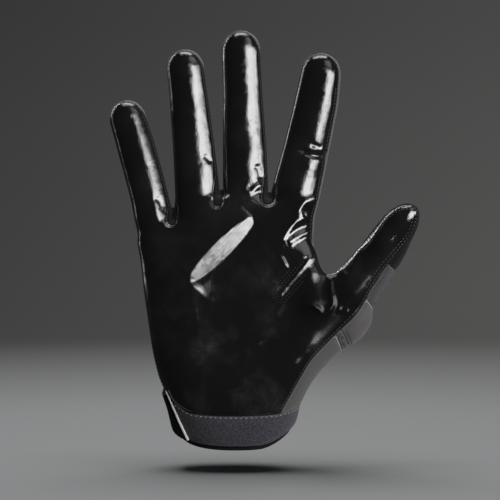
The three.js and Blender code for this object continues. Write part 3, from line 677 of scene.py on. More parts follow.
def make_sheet(skin, faces, lift=0.0, relief=None, dip=0.3, reach=1.5):
    """A panel's outer face: dressed points, normals, how far each is from the panel's edge."""
    used, local = np.unique(faces, return_inverse=True)
    faces = largest(local.reshape(-1, 3), len(used))
    kept, local = np.unique(faces, return_inverse=True)
    faces = local.reshape(-1, 3)
    base = skin["points"][used[kept]]
    normal = unit(slope_of(skin_distance, base))
    rim = rim_of(faces, len(base))
    a, b = base[rim[:, 0]], base[rim[:, 1]]
    line = np.vstack([a + (b - a) * t for t in (0, 0.25, 0.5, 0.75)])
    away, nearest = nearest_on(base, line)
    on_rim = np.unique(rim)
    away[on_rim] = 0
    inward = np.zeros((len(base), 3))
    for corner in rim.T:
        side = np.cross(normal[corner], b - a)
        for k in range(3):
            inward[:, k] += np.bincount(corner, side[:, k], len(base))
    inward = unit(inward)
    loose = np.setdiff1d(np.arange(len(base)), on_rim)
    towards = base[loose] - nearest[loose]
    towards -= (towards * normal[loose]).sum(1, keepdims=True) * normal[loose]
    inward[loose] = unit(towards)
    height = lift - dip * np.exp(-((away / reach) ** 2))
    if relief is not None:
        height = height + relief(base, away)
    edge = base + inward * SEAM_GAP / 2 + normal * height[:, None]
    shift = EDGE_ROUND * (1 - smoothstep(0, EDGE_REACH, away))
    points = edge + inward * shift[:, None]
    return {"points": points, "normal": normal, "faces": faces, "rim": rim, "away": away,
            "inward": inward, "edge": edge}


def thickened(sheet, wall):
    """A closed wall from a sheet, its edges rounded over: points, triangles, edge distances."""
    count = len(sheet["points"])
    normal, inward, edge = sheet["normal"], sheet["inward"], sheet["edge"]
    on_rim = np.unique(sheet["rim"])
    place = np.zeros(count, int)
    place[on_rim] = np.arange(len(on_rim))
    r = EDGE_ROUND
    rings = []
    bevel = 0.3
    for across, down in ((bevel, bevel), (0, 1), (0, wall / r - 1), (bevel, wall / r - bevel)):
        rings.append(edge[on_rim] + inward[on_rim] * across * r - normal[on_rim] * down * r)
    inner = sheet["points"] - normal * wall
    points = np.vstack([sheet["points"], inner, *rings])
    starts = [2 * count + k * len(on_rim) for k in range(len(rings))]
    a, b = sheet["rim"].T
    levels = [(a, b), *((s + place[a], s + place[b]) for s in starts), (a + count, b + count)]
    sides = []
    for (a0, b0), (a1, b1) in zip(levels, levels[1:]):
        sides += [np.stack([b0, a0, a1], 1), np.stack([b0, a1, b1], 1)]
    triangles = np.vstack([sheet["faces"], sheet["faces"][:, ::-1] + count, *sides])
    away = np.concatenate([sheet["away"], sheet["away"], np.zeros(len(rings) * len(on_rim))])
    return points, triangles, away


def new_mesh(name, points, faces, attributes=(), edges=()):
    """A mesh object with its place in its mesh, from pattern-frame points."""
    mesh = bpy.data.meshes.new(name)
    mesh.vertices.add(len(points))
    mesh.vertices.foreach_set("co", ((points - OPENING) * MM).astype(np.float32).ravel())
    if len(faces):
        mesh.loops.add(faces.size)
        mesh.loops.foreach_set("vertex_index", faces.astype(np.int32).ravel())
        mesh.polygons.add(len(faces))
        starts = np.arange(0, faces.size, faces.shape[1], dtype=np.int32)
        mesh.polygons.foreach_set("loop_start", starts)
    if len(edges):
        mesh.edges.add(len(edges))
        mesh.edges.foreach_set("vertices", np.asarray(edges, np.int32).ravel())
    mesh.update(calc_edges=True)
    for key, values in attributes:
        layer = mesh.attributes.new(key, "FLOAT", "POINT")
        layer.data.foreach_set("value", values.astype(np.float32))
    if len(faces):
        mesh.shade_smooth()
    thing = bpy.data.objects.new(name, mesh)
    bpy.context.scene.collection.objects.link(thing)
    return thing


def contour(sheet, level):
    """The lines on a sheet at one distance from its edge, as lists of points."""
    piece = {"points": sheet["points"], "fixed": np.zeros(len(sheet["points"]), bool)}
    before = len(piece["points"])
    low, _ = split(piece, sheet["faces"], sheet["away"] - level)
    rim = rim_of(low, len(piece["points"]))
    rim = rim[(rim >= before).all(1)]
    return chained(piece["points"], rim)


def chained(points, edges):
    """Joins directed edges into lines."""
    following = {int(a): int(b) for a, b in edges}
    starts = set(following) - set(following.values())
    lines = []
    for start in [*sorted(starts), *sorted(following)]:
        if start not in following:
            continue
        line = [start]
        while line[-1] in following:
            line.append(following.pop(line[-1]))
        if len(line) > 3:
            lines.append(points[line])
    return lines


def parts_where(lines, wanted, shortest=4):
    """The stretches of lines whose points are wanted."""
    found = []
    for line in lines:
        keep = wanted(line)
        breaks = np.flatnonzero(np.diff(keep.astype(int))) + 1
        for run, kept in zip(np.split(line, breaks), np.split(keep, breaks)):
            if kept[0] and len(run) > shortest:
                found.append(run)
    return found


def evened(line, rounds=6):
    """A line without its small zigzags."""
    closed = np.linalg.norm(line[0] - line[-1]) < SMALL
    for _ in range(rounds):
        middle = (line[:-2] + 2 * line[1:-1] + line[2:]) / 4
        line = np.vstack([line[:1], middle, line[-1:]])
        if closed:
            line[0] = line[-1] = (line[-2] + 2 * line[0] + line[1]) / 4
    return line


# Materials.

# The mesh's cords stand out above this value of the waves that make them.
CORD_FLOOR = -0.6
# How far in from a panel's edge its paler rim reaches, in mm: rub and a painted rim highlight.
RUB_AND_RIM_HIGHLIGHT_REACH = 0.55
# darkest is the tone in the hollows between the loops: painted shade
WEAVE = {"depth_share": 0.8, "wobble_scale": 900.0, "wobble": 2.0, "fibre_scale": 1300.0,
         "fibre_height": 0.4, "loop_full": 0.8, "darkest": 0.35}
COAT_COLOURS = {
    "black": (0.0014, 0.0014, 0.0015, 1),
    # painted sheen: the paler brown laid on the dull patches, more of it low on the palm
    "wear_and_painted_light": (0.055, 0.048, 0.045, 1),
    "mesh": (0.03, 0.028, 0.027, 1),
    # painted rim highlight: the coating's very edge turns paler, along with rub
    "edge": (0.04, 0.04, 0.04, 1),
}
COAT = {"gloss": 0.5, "rubbed_gloss": 0.1, "smooth": 0.08, "dull": 0.2, "taut_share": 0.6,
        "rubbed_matt": 0.05}
# Heights, in metres, from which and to which the coating changes: its grain on the fingers, and the
# painted sheen that grows low on the palm.
FINGERS_FROM = (0.11, 0.13)
LOWER_PALM = (0.085, 0.03)

# The cloths: wale, course and bump in mm, the wales' lean in radians, and how much the very edge is
# painted paler, a rim highlight along with rub. Two follow the thumb.
THUMB_LEAN = 0.639
CLOTHS = {
    "black_fabric": {
        "dark": (0.002, 0.002, 0.0022), "light": (0.009, 0.009, 0.0095), "wale": 0.8,
        "course": 0.7, "uneven": 0.4, "bump": 0.15, "sheen": 0.1},
    "grey_fabric": {
        "dark": (0.08, 0.076, 0.076), "light": (0.15, 0.142, 0.142), "wale": 0.5,
        "course": 0.45, "uneven": 0.25, "bump": 0.08, "sheen": 0.3, "rub_and_rim_highlight": 0.5},
    "rib_knit": {
        "dark": (0.004, 0.004, 0.005), "light": (0.17, 0.17, 0.185), "wale": 1.7,
        "course": 0.3, "uneven": 0.6, "bump": 0.5, "sheen": 0.2, "rub_and_rim_highlight": 0.2, "lean": THUMB_LEAN},
    "heather_knit": {
        "dark": (0.002, 0.002, 0.0025), "light": (0.16, 0.16, 0.165), "wale": 1.3,
        "course": 1.1, "uneven": 2.2, "bump": 0.3, "sheen": 0.2, "rub_and_rim_highlight": 0.2, "lean": THUMB_LEAN},
    "cuff_knit": {
        "dark": (0.012, 0.012, 0.016), "light": (0.12, 0.115, 0.14), "wale": 0.55,
        "course": 0.5, "uneven": 2.2, "bump": 0.15, "sheen": 0.3, "rub_and_rim_highlight": 0.3},
}
THREAD = {"roughness": 0.6, "scale": 3000.0}
PLAINS = {
    "white_piping": {"colour": (0.85, 0.85, 0.84), "roughness": 0.42, "scale": 900.0},
    "grey_thread": {"colour": (0.11, 0.11, 0.11), **THREAD},
    "dark_thread": {"colour": (0.035, 0.035, 0.035), **THREAD},
    "pale_thread": {"colour": (0.55, 0.54, 0.52), **THREAD},
}


def node_of(tree, kind, **inputs):
    """A node with its properties (set_name) and inputs (a name, or i and a number) set.

    Where an input's value is a node's socket, that socket is linked to it.
    """
    node = tree.nodes.new(kind)
    properties = {name: value for name, value in inputs.items() if name.startswith("set_")}
    for name, value in properties.items():
        setattr(node, name.removeprefix("set_"), value)
    for name, value in inputs.items():
        if name in properties:
            continue
        numbered = name[0] == "i" and name[1:].isdigit()
        socket = node.inputs[int(name[1:]) if numbered else name.replace("_", " ")]
        if isinstance(value, bpy.types.NodeSocket):
            tree.links.new(value, socket)
        else:
            socket.default_value = value
    return node


def math(tree, operation, a, b=0.0, c=0.0):
    return node_of(tree, "ShaderNodeMath", set_operation=operation, i0=a, i1=b, i2=c).outputs[0]


def times(tree, a, b):
    return math(tree, "MULTIPLY", a, b)


def blend_colours(tree, factor, a, b):
    mix = node_of(tree, "ShaderNodeMix", set_data_type="RGBA", i0=factor, i6=a, i7=b)
    return mix.outputs[2]


def mapped(tree, value, low, high, to_low=0.0, to_high=1.0):
    spread = node_of(tree, "ShaderNodeMapRange", Value=value, i1=low, i2=high, i3=to_low, i4=to_high)
    return spread.outputs[0]


def place_on_piece(tree):
    return node_of(tree, "ShaderNodeTexCoord").outputs["Object"]


def attribute(tree, name):
    return node_of(tree, "ShaderNodeAttribute", set_attribute_name=name).outputs["Fac"]


def noise(tree, scale, detail=3.0, roughness=0.5, at=None):
    vector = place_on_piece(tree) if at is None else at
    cloud = node_of(tree, "ShaderNodeTexNoise", Vector=vector, Scale=scale, Detail=detail,
                    Roughness=roughness)
    return cloud.outputs["Fac"]


def number_input(tree, label, value):
    socket = tree.interface.new_socket(label, in_out="INPUT", socket_type="NodeSocketFloat")
    socket.default_value = value


def new_group(name, inputs, outputs):
    """A shader group with number inputs, each with its value, and number outputs."""
    group = bpy.data.node_groups.new(name, "ShaderNodeTree")
    for label, value in inputs.items():
        number_input(group, label, value)
    for label in outputs:
        group.interface.new_socket(label, in_out="OUTPUT", socket_type="NodeSocketFloat")
    return group, group.nodes.new("NodeGroupInput"), group.nodes.new("NodeGroupOutput")


def placed_group(tree, group, **values):
    return node_of(tree, "ShaderNodeGroup", set_node_tree=group, **values).outputs


def make_diamond_group():
    """A fine diamond mesh, seen square on from the palm's side: two crossing sets of cords."""
    group, given, out = new_group("diamond_mesh", {"Spacing": 1.25, "Lean": 1.15}, ["Height"])
    place = node_of(group, "ShaderNodeSeparateXYZ", Vector=place_on_piece(group))
    turn = math(group, "DIVIDE", 2 * np.pi / MM, given.outputs["Spacing"])
    x = times(group, place.outputs["X"], turn)
    z = times(group, times(group, place.outputs["Z"], turn), given.outputs["Lean"])
    one = math(group, "SINE", math(group, "ADD", x, z))
    two = math(group, "SINE", math(group, "SUBTRACT", x, z))
    cords = mapped(group, math(group, "MAXIMUM", one, two), CORD_FLOOR, 1.0)
    group.links.new(cords, out.inputs["Height"])
    return group


def make_weave_group():
    """A knit or weave: rows of small loops with uneven threads, as height, and as a tone with painted
    shade in the hollows between the loops.
    """
    sizes = {"Wale": 0.9, "Course": 0.7, "Uneven": 0.35, "Lean": 0.0}
    group, given, out = new_group("cloth_weave", sizes, ["Height", "Tone_and_hollow_shade"])
    place = place_on_piece(group)
    x, y, z = node_of(group, "ShaderNodeSeparateXYZ", Vector=place).outputs
    cos, sin = (math(group, kind, given.outputs["Lean"]) for kind in ("COSINE", "SINE"))
    over = math(group, "SUBTRACT", times(group, x, cos), times(group, z, sin))
    along = math(group, "ADD", times(group, x, sin), times(group, z, cos))
    across = math(group, "MULTIPLY_ADD", y, WEAVE["depth_share"], over)
    wale, course = (
        math(group, "DIVIDE", times(group, way, np.pi / MM), given.outputs[label])
        for way, label in ((across, "Wale"), (along, "Course")))
    wobble = noise(group, WEAVE["wobble_scale"], 2.0, at=place)
    shifted = math(group, "MULTIPLY_ADD", wobble, WEAVE["wobble"], course)
    one, two = (math(group, "ABSOLUTE", math(group, "SINE", turn)) for turn in (wale, shifted))
    loops = times(group, one, two)
    fibres = noise(group, WEAVE["fibre_scale"], at=place)
    height = math(group, "MULTIPLY_ADD", fibres, WEAVE["fibre_height"], loops)
    group.links.new(height, out.inputs["Height"])
    uneven = times(group, math(group, "SUBTRACT", fibres, 0.5), given.outputs["Uneven"])
    # darker between the loops: painted shade in the weave's hollows
    hollow_shade = mapped(group, loops, 0.0, WEAVE["loop_full"], WEAVE["darkest"], 1.0)
    group.links.new(math(group, "ADD", hollow_shade, uneven), out.inputs["Tone_and_hollow_shade"])
    return group


def make_edge_group():
    """Near a panel's edge: the dip along its row of stitches, and on the very edge the rub, which also
    paints a rim highlight.
    """
    group, given, out = new_group("panel_edge", {"Stitch at": 1.3, "Width": 0.35}, ["Height", "Rub_and_rim_highlight"])
    away = attribute(group, "edge_mm")
    past = math(group, "SUBTRACT", away, given.outputs["Stitch at"])
    off = math(group, "DIVIDE", past, given.outputs["Width"])
    dip = math(group, "EXPONENT", times(group, times(group, off, off), -1.0))
    group.links.new(math(group, "SUBTRACT", 1.0, dip), out.inputs["Height"])
    # paler towards the very edge: a painted rim highlight along with rub
    group.links.new(mapped(group, away, RUB_AND_RIM_HIGHLIGHT_REACH, 0.0), out.inputs["Rub_and_rim_highlight"])
    return group


def new_material(name, roughness, **fixed):
    material = bpy.data.materials.new(name)
    material.use_nodes = True
    tree = material.node_tree
    shader = tree.nodes["Principled BSDF"]
    shader.inputs["Roughness"].default_value = roughness
    for label, value in fixed.items():
        shader.inputs[label.replace("_", " ")].default_value = value
    return material, tree, shader


def bumped(tree, shader, height, strength, distance, under=None):
    """Adds a bump, on top of an earlier one where given."""
    bump = node_of(tree, "ShaderNodeBump", Strength=strength, Distance=distance * MM, Height=height)
    if under is not None:
        tree.links.new(under, bump.inputs["Normal"])
    tree.links.new(bump.outputs[0], shader.inputs["Normal"])
    return bump.outputs[0]


def dull_patches(tree):
    """Mottled patches of duller coating, speckled."""
    patches = mapped(tree, noise(tree, 42.0, 4.0, 0.6), 0.48, 0.66)
    speckle = mapped(tree, noise(tree, 1100.0, 3.0, 0.7), 0.45, 0.7)
    return times(tree, patches, math(tree, "MULTIPLY_ADD", speckle, 0.7, 0.3))


def drawn_streaks(tree):
    """Fine streaks along the leaf where the coating is drawn tight."""
    turned = node_of(tree, "ShaderNodeMapping", set_vector_type="TEXTURE",
                     Rotation=(0, -np.radians(TAUT["turn"]), 0), Vector=place_on_piece(tree),
                     Scale=(7, 1, 1))
    return noise(tree, 1000.0, at=turned.outputs[0])


def coat_colour(tree, dull, mesh, rub_and_rim_highlight, height):
    """Black; in the dull patches a paler brown painted sheen, stronger low on the palm; paler on the
    mesh's cords; and paler on the very edges, a painted rim highlight along with rub.
    """
    # painted sheen: the dull patches turn paler brown, more so low on the palm
    wear_and_painted_light = times(tree, dull, mapped(tree, height, *LOWER_PALM, 0.4, 1.0))
    colour = blend_colours(tree, wear_and_painted_light, COAT_COLOURS["black"], COAT_COLOURS["wear_and_painted_light"])
    colour = blend_colours(tree, times(tree, mesh, 0.35), colour, COAT_COLOURS["mesh"])
    return blend_colours(tree, times(tree, rub_and_rim_highlight, 0.4), colour, COAT_COLOURS["edge"])


def coated_material(groups):
    """Black tacky coating on cloth: wet gloss, mottled patches, the cloth's diamond mesh below."""
    material, tree, shader = new_material("coated_palm", 0.12, IOR=2.0)
    mesh = placed_group(tree, groups["diamond"])["Height"]
    edge = placed_group(tree, groups["edge"])
    taut, rubbed = attribute(tree, "taut"), attribute(tree, "wear_and_painted_light")
    height = node_of(tree, "ShaderNodeSeparateXYZ", Vector=place_on_piece(tree)).outputs["Z"]
    dull = dull_patches(tree)
    colour = coat_colour(tree, dull, mesh, edge["Rub_and_rim_highlight"], height)
    tree.links.new(colour, shader.inputs["Base Color"])
    gloss = mapped(tree, rubbed, 0.0, 1.0, COAT["gloss"], COAT["rubbed_gloss"])
    tree.links.new(gloss, shader.inputs["Specular IOR Level"])
    matt = times(tree, mapped(tree, dull, 0.0, 1.0, COAT["smooth"], COAT["dull"]),
                 mapped(tree, taut, 0.0, 1.0, 1.0, COAT["taut_share"]))
    matt = math(tree, "MULTIPLY_ADD", rubbed, COAT["rubbed_matt"], matt)
    tree.links.new(matt, shader.inputs["Roughness"])
    patchy = mapped(tree, noise(tree, 260.0, 2.0), 0.4, 0.62, 0.3, 1.0)
    fingers = mapped(tree, height, *FINGERS_FROM, 0.5, 1.0)
    grain = times(tree, noise(tree, 1400.0, 2.0, 0.6), times(tree, patchy, fingers))
    normal = bumped(tree, shader, mesh, 0.2, 0.05)
    normal = bumped(tree, shader, noise(tree, 420.0), 0.3, 0.12, normal)
    normal = bumped(tree, shader, grain, 1.0, 0.11, normal)
    normal = bumped(tree, shader, times(tree, drawn_streaks(tree), taut), 0.9, 0.13, normal)
    bumped(tree, shader, edge["Height"], 0.6, 0.25, normal)
    return material


def cloth_material(name, dark, light, wale, course, uneven, bump, sheen, rub_and_rim_highlight=0.0, lean=0.0):
    """A woven or knitted cloth."""
    material, tree, shader = new_material(name, 0.85, Sheen_Weight=sheen, Sheen_Roughness=0.5,
                                          Specular_IOR_Level=0.25)
    weave = placed_group(tree, GROUPS["weave"], Wale=wale, Course=course, Uneven=uneven, Lean=lean)
    edge = placed_group(tree, GROUPS["edge"])
    # paler on the very edge: a painted rim highlight along with rub
    wear_and_painted_light = math(tree, "MULTIPLY_ADD", edge["Rub_and_rim_highlight"], rub_and_rim_highlight, weave["Tone_and_hollow_shade"])
    colour = blend_colours(tree, mapped(tree, wear_and_painted_light, 0.2, 1.2), (*dark, 1), (*light, 1))
    tree.links.new(colour, shader.inputs["Base Color"])
    normal = bumped(tree, shader, weave["Height"], 0.7, bump)
    bumped(tree, shader, edge["Height"], 0.5, 0.3, normal)
    return material


def plain_material(name, colour, roughness, scale, bump=0.05):
    material, tree, shader = new_material(name, roughness)
    grain = noise(tree, scale)
    darker = [c * 0.82 for c in colour]
    shade = blend_colours(tree, mapped(tree, grain, 0.3, 0.7), (*darker, 1), (*colour, 1))
    tree.links.new(shade, shader.inputs["Base Color"])
    bumped(tree, shader, grain, 0.4, bump)
    return material


GROUPS = {"diamond": make_diamond_group(), "weave": make_weave_group(), "edge": make_edge_group()}
MATERIALS = {"coated_palm": coated_material(GROUPS)}
MATERIALS.update({name: cloth_material(name, **cloth) for name, cloth in CLOTHS.items()})
MATERIALS.update({name: plain_material(name, **plain) for name, plain in PLAINS.items()})


# Stitches: one Geometry Nodes tree lays a small thread loop at each step along its lines.


def make_stitch_tree():
    tree = bpy.data.node_groups.new("stitch_row", "GeometryNodeTree")
    tree.interface.new_socket("Line", in_out="INPUT", socket_type="NodeSocketGeometry")
    for label, value in (("Pitch", 0.0024), ("Length", 0.0016), ("Thread", 0.00042)):
        number_input(tree, label, value)
    tree.interface.new_socket("Material", in_out="INPUT", socket_type="NodeSocketMaterial")
    tree.interface.new_socket("Stitches", in_out="OUTPUT", socket_type="NodeSocketGeometry")
    given, out = tree.nodes.new("NodeGroupInput"), tree.nodes.new("NodeGroupOutput")
    line = node_of(tree, "GeometryNodeMeshToCurve", Mesh=given.outputs["Line"])
    steps = node_of(tree, "GeometryNodeResampleCurve", set_mode="LENGTH", Curve=line.outputs["Curve"],
                    Length=given.outputs["Pitch"])
    ball = node_of(tree, "GeometryNodeMeshUVSphere", Segments=6, Rings=5, Radius=0.5)
    size = node_of(tree, "ShaderNodeCombineXYZ", X=given.outputs["Thread"], Y=given.outputs["Thread"],
                   Z=given.outputs["Length"])
    loop = node_of(tree, "GeometryNodeTransform", Geometry=ball.outputs["Mesh"], Scale=size.outputs[0])
    along = tree.nodes.new("GeometryNodeInputTangent")
    turn = node_of(tree, "FunctionNodeAlignRotationToVector", set_axis="Z", Vector=along.outputs[0])
    laid = node_of(tree, "GeometryNodeInstanceOnPoints", Points=steps.outputs["Curve"],
                   Instance=loop.outputs["Geometry"], Rotation=turn.outputs[0])
    real = node_of(tree, "GeometryNodeRealizeInstances", Geometry=laid.outputs["Instances"])
    smooth = node_of(tree, "GeometryNodeSetShadeSmooth", Geometry=real.outputs["Geometry"])
    done = node_of(tree, "GeometryNodeSetMaterial", Geometry=smooth.outputs["Geometry"],
                   Material=given.outputs["Material"])
    tree.links.new(done.outputs["Geometry"], out.inputs["Stitches"])
    return tree


STITCH_TREE = make_stitch_tree()


def stitches(name, lines, slot, thread, pitch, length, thick):
    """A row of stitches along lines, as one plain mesh that rides on the glove."""
    points = np.vstack(lines)
    edges, start = [], 0
    for line in lines:
        steps = np.arange(start, start + len(line) - 1)
        edges.append(np.stack([steps, steps + 1], 1))
        start += len(line)
    rows = new_mesh(name + "_rows", points, np.zeros((0, 3), int), edges=np.vstack(edges))
    modifier = rows.modifiers.new("stitch_row", "NODES")
    modifier.node_group = STITCH_TREE
    values = {"Pitch": pitch * MM, "Length": length * MM, "Thread": thick * MM,
              "Material": MATERIALS[thread]}
    for item in STITCH_TREE.interface.items_tree:
        if item.name in values:
            modifier[item.identifier] = values[item.name]
    bpy.context.view_layer.update()
    ready = rows.evaluated_get(bpy.context.evaluated_depsgraph_get())
    mesh = bpy.data.meshes.new_from_object(ready)
    mesh.name = name
    thing = bpy.data.objects.new(name, mesh)
    bpy.context.scene.collection.objects.link(thing)
    bpy.data.objects.remove(rows)
    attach(thing, "root")


# The panels.


def coat_attributes(points):
    """Where the palm's coating is drawn tight, and where it is worn."""
    x, z = points[:, 0], points[:, 2]
    along, across, half = on_taut(x, z)
    inside = smoothstep(TAUT["long"], TAUT["long"] - TAUT["end"], np.abs(along))
    taut = smoothstep(TAUT["soft"], -TAUT["soft"], np.abs(across) - half) * inside
    out = np.hypot((x - WORN["x"]) / WORN["wide"], (z - WORN["z"]) / WORN["high"])
    return [("taut", taut), ("wear_and_painted_light", np.exp(-(out**4)))]


def panel(node, sheet):
    """A panel's wall of cloth, which takes its solid's place."""
    slot = SLOTS[node]
    points, triangles, away = thickened(sheet, WALLS.get(node, KNIT_WALL))
    attributes = [("edge_mm", away)]
    if node == "palm_panel":
        attributes += coat_attributes(points)
    piece = new_mesh(node + "_cloth", points, triangles, attributes)
    piece.data.materials.append(MATERIALS[slot])
    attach(piece, "root")
    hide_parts(node)


def palm_relief(base, away):
    full = smoothstep(0, 2.5, away)
    return fold_height(base) + unevenness(base) * full


def cloth_relief(base, away):
    return 0.8 * unevenness(base) * smoothstep(0, 3, away)


def make_panels():
    """Cuts the skin along its seams, and dresses each panel."""
    skin = make_skin()
    cuff, hand = cut(skin, skin["faces"], cuff_over_hand)
    palm, rest = cut(skin, hand, palm_over_back)
    fillers = {}
    for name in STRIPS:
        fillers[name], palm = cut(skin, palm, notch(name))
    sheets = {}
    for name, pair in STRIPS.items():
        inside, outside = cut(skin, rest, lambda x, y, z, two=pair: between_fingers(two, x, z))
        strip, behind = cut(skin, inside, strip_over_back(pair))
        sheets[name] = make_sheet(skin, np.vstack([strip, fillers[name]]), lift=-0.35, dip=0.1)
        rest = np.vstack([outside, behind])
    thumb, back = cut(skin, rest, thumb_over_back)
    for name, node in (("tip_to_rib", "thumb_tip_back"), ("rib_to_pad", "thumb_rib_band"),
                       ("pad_to_heather", "thumb_knuckle_pad"),
                       ("heather_to_base", "thumb_heather_insert")):
        section, thumb = cut(skin, thumb, thumb_cut(name))
        sheets[node] = make_sheet(skin, section, relief=cloth_relief, dip=0.45)
    sheets["thumb_base_panel"] = make_sheet(skin, thumb, relief=cloth_relief, dip=0.45)
    sheets["back_panel"] = make_sheet(skin, back, relief=cloth_relief)
    sheets["palm_panel"] = make_sheet(skin, palm, relief=palm_relief, dip=0.35)
    band, _ = cut(skin, cuff, above_rim)
    sheets["cuff_band"] = make_sheet(skin, band, relief=cloth_relief, dip=0.25)
    return sheets


def make_cuff_sheets():
    """The lining inside the cuff and the strap over it, cut from a skin of their own."""
    skin = make_skin()
    wrist = skin["faces"][(skin["points"][skin["faces"], 2] < WRIST_TOP).all(1)]
    lining, _ = cut(skin, wrist, lambda x, y, z: above_rim(x, y, z) - LINING["below"])
    lining, _ = cut(skin, lining, lambda x, y, z: -above_rim(x, y, z) - LINING["above"])
    strap, _ = cut(skin, wrist, lambda x, y, z: above_rim(x, y, z) + STRAP["inset"])
    strap, _ = cut(skin, strap, below_strap_top)
    strap, _ = cut(skin, strap, lambda x, y, z: np.minimum(past_piping(x, z), OPENING[1] - y))
    strap, _ = cut(skin, strap, lambda x, y, z: x - STRAP["end"])
    lining_sheet = make_sheet(skin, lining, lift=-LINING["depth"], dip=0.1)
    lift = STRAP["gap"] + WALLS["closing_strap"]
    strap_sheet = make_sheet(skin, strap, lift=lift, dip=0.2, relief=cloth_relief)
    return lining_sheet, strap_sheet


SLOTS = {row["node"]: row["material_slot"] for row in frame["record"]["subparts"]}
sheets = make_panels()
sheets["cuff_lining"], sheets["closing_strap"] = make_cuff_sheets()
for node, sheet in sheets.items():
    panel(node, sheet)


# Stitch rows and the piping.


# The rows in mm: their distance from the panel's edge, and each stitch's size.
PALM_EDGE_AT = 1.3
INDEX_SECOND_AT = 3.3
CUFF_SEAM_AT = 0.3
THUMB_SEAM_AT = 0.35
EDGE_STITCHES = {"pitch": 1.9, "length": 1.35, "thick": 0.36}
CUFF_STITCHES = {"pitch": 2.6, "length": 0.9, "thick": 0.5}
SEAM_STITCHES = {"pitch": 0.8, "length": 1.0, "thick": 0.45}
DART_STITCHES = {"pitch": 1.7, "length": 1.1, "thick": 0.26}
# The rows round the dart's foot: how far out, and how far up its sides they reach.
DART_ROWS = ((1.6, 20), (3.0, 15), (4.4, 12))
DART_LIFT = 0.05
# How far from the cuff's top the palm's row stops, and how far below it the cuff's row may run.
CLEAR_OF_CUFF = 3
BELOW_CUFF_TOP = 4
NEAR_THUMB_SEAM = 1.6
# The second row beside the index finger: its least distance u, and its lower and upper end h.
INDEX_SIDE = {"u": 4, "low": -34, "high": 62}
# A depth y in front of the whole palm.
IN_FRONT = -70


def row_along(sheet, away, wanted):
    """The wanted stretches of the line at one distance from a sheet's edge."""
    return parts_where([evened(line) for line in contour(sheet, away)], wanted)


def index_side(line):
    h, u = on_digit("index", line[:, 0], line[:, 2])
    return (u > INDEX_SIDE["u"]) & (h > INDEX_SIDE["low"]) & (h < INDEX_SIDE["high"])


def faced(sheet):
    corners = [Vector(p) for p in sheet["points"]]
    return BVHTree.FromPolygons(corners, [tuple(int(k) for k in f) for f in sheet["faces"]])


def on_face(tree, flat, lift):
    """Points (x, z) put onto a sheet, seen from the palm's side."""
    points = []
    for x, z in flat:
        hit, normal, _, _ = tree.ray_cast(Vector((x, IN_FRONT, z)), Vector((0, 1, 0)))
        if hit is not None:
            if normal.y > 0:
                normal = -normal
            points.append(np.array(hit + normal * lift))
    return np.array(points)


def dart_rows():
    """Rows of stitches round the dart's lower end and up both its sides."""
    foot, head = np.array(DART[:2]), np.array(DART[2:])
    along = unit(head - foot)
    aside = np.array([along[1], -along[0]])
    rows = []
    for out, reach in DART_ROWS:
        turn = np.linspace(-np.pi / 2, np.pi / 2, 13)
        bottom = [foot - along * out * np.cos(t) + aside * out * np.sin(t) for t in turn]
        left = [foot + along * s - aside * out for s in np.linspace(reach, 1, 12)]
        right = [foot + along * s + aside * out for s in np.linspace(1, reach, 12)]
        rows.append(np.array([*left, *bottom, *right]))
    return rows


def seam_stitches(name, node, cut_name):
    """A close pale row along the seam where one of the thumb's pieces starts."""
    seam = thumb_cut(cut_name)
    rows = row_along(sheets[node], THUMB_SEAM_AT, lambda p: np.abs(seam(*p.T)) < NEAR_THUMB_SEAM)
    stitches(name, rows, SLOTS[node], "pale_thread", **SEAM_STITCHES)


def make_stitch_rows():
    palm = sheets["palm_panel"]
    rows = row_along(palm, PALM_EDGE_AT, lambda p: cuff_over_hand(*p.T) > CLEAR_OF_CUFF)
    stitches("palm_edge_stitches", rows, "coated_palm", "grey_thread", **EDGE_STITCHES)
    rows = row_along(palm, INDEX_SECOND_AT, index_side)
    stitches("index_second_stitches", rows, "coated_palm", "grey_thread", **EDGE_STITCHES)
    rows = row_along(sheets["cuff_band"], CUFF_SEAM_AT,
                     lambda p: cuff_over_hand(*p.T) > -BELOW_CUFF_TOP)
    stitches("cuff_seam_stitches", rows, "cuff_knit", "pale_thread", **CUFF_STITCHES)
    seam_stitches("pad_top_stitches", "thumb_knuckle_pad", "rib_to_pad")
    seam_stitches("base_top_stitches", "thumb_base_panel", "heather_to_base")
    palm_tree = faced(palm)
    rows = [on_face(palm_tree, row, DART_LIFT) for row in dart_rows()]
    stitches("dart_stitches", rows, "coated_palm", "dark_thread", **DART_STITCHES)


def tube(path, radius, sides=12):
    """A round tube along a path, its radius given for each point, closed at its ends."""
    count = len(path)
    along = unit(np.gradient(path, axis=0))
    side = unit(np.cross(along, (0, 1, 0)))
    up = np.cross(side, along)
    angles = np.linspace(0, 2 * np.pi, sides, endpoint=False)
    cos, sin = (wave(angles)[None, :, None] for wave in (np.cos, np.sin))
    shell = path[:, None] + radius[:, None, None] * (cos * side[:, None] + sin * up[:, None])
    dome = 0.6
    ends = [path[:1] - along[:1] * radius[0] * dome, path[-1:] + along[-1:] * radius[-1] * dome]
    points = np.vstack([shell.reshape(-1, 3), *ends])
    faces = []
    for i in range(count - 1):
        for k in range(sides):
            a, b = i * sides + k, i * sides + (k + 1) % sides
            faces += [(a, b, b + sides), (a, b + sides, a + sides)]
    first, last = count * sides, count * sides + 1
    for k in range(sides):
        n = (k + 1) % sides
        faces += [(first, n, k), (last, (count - 1) * sides + k, (count - 1) * sides + n)]
    return points, np.array(faces)


def front_of_skin(x, z):
    """The skin's y on the palm's side."""
    low, high = np.full_like(x, BOX_LOW[1]), bend_at(x, z)
    for _ in range(40):
        middle = (low + high) / 2
        out = skin_distance(x, middle, z) > 0
        low, high = np.where(out, middle, low), np.where(out, high, middle)
    return low


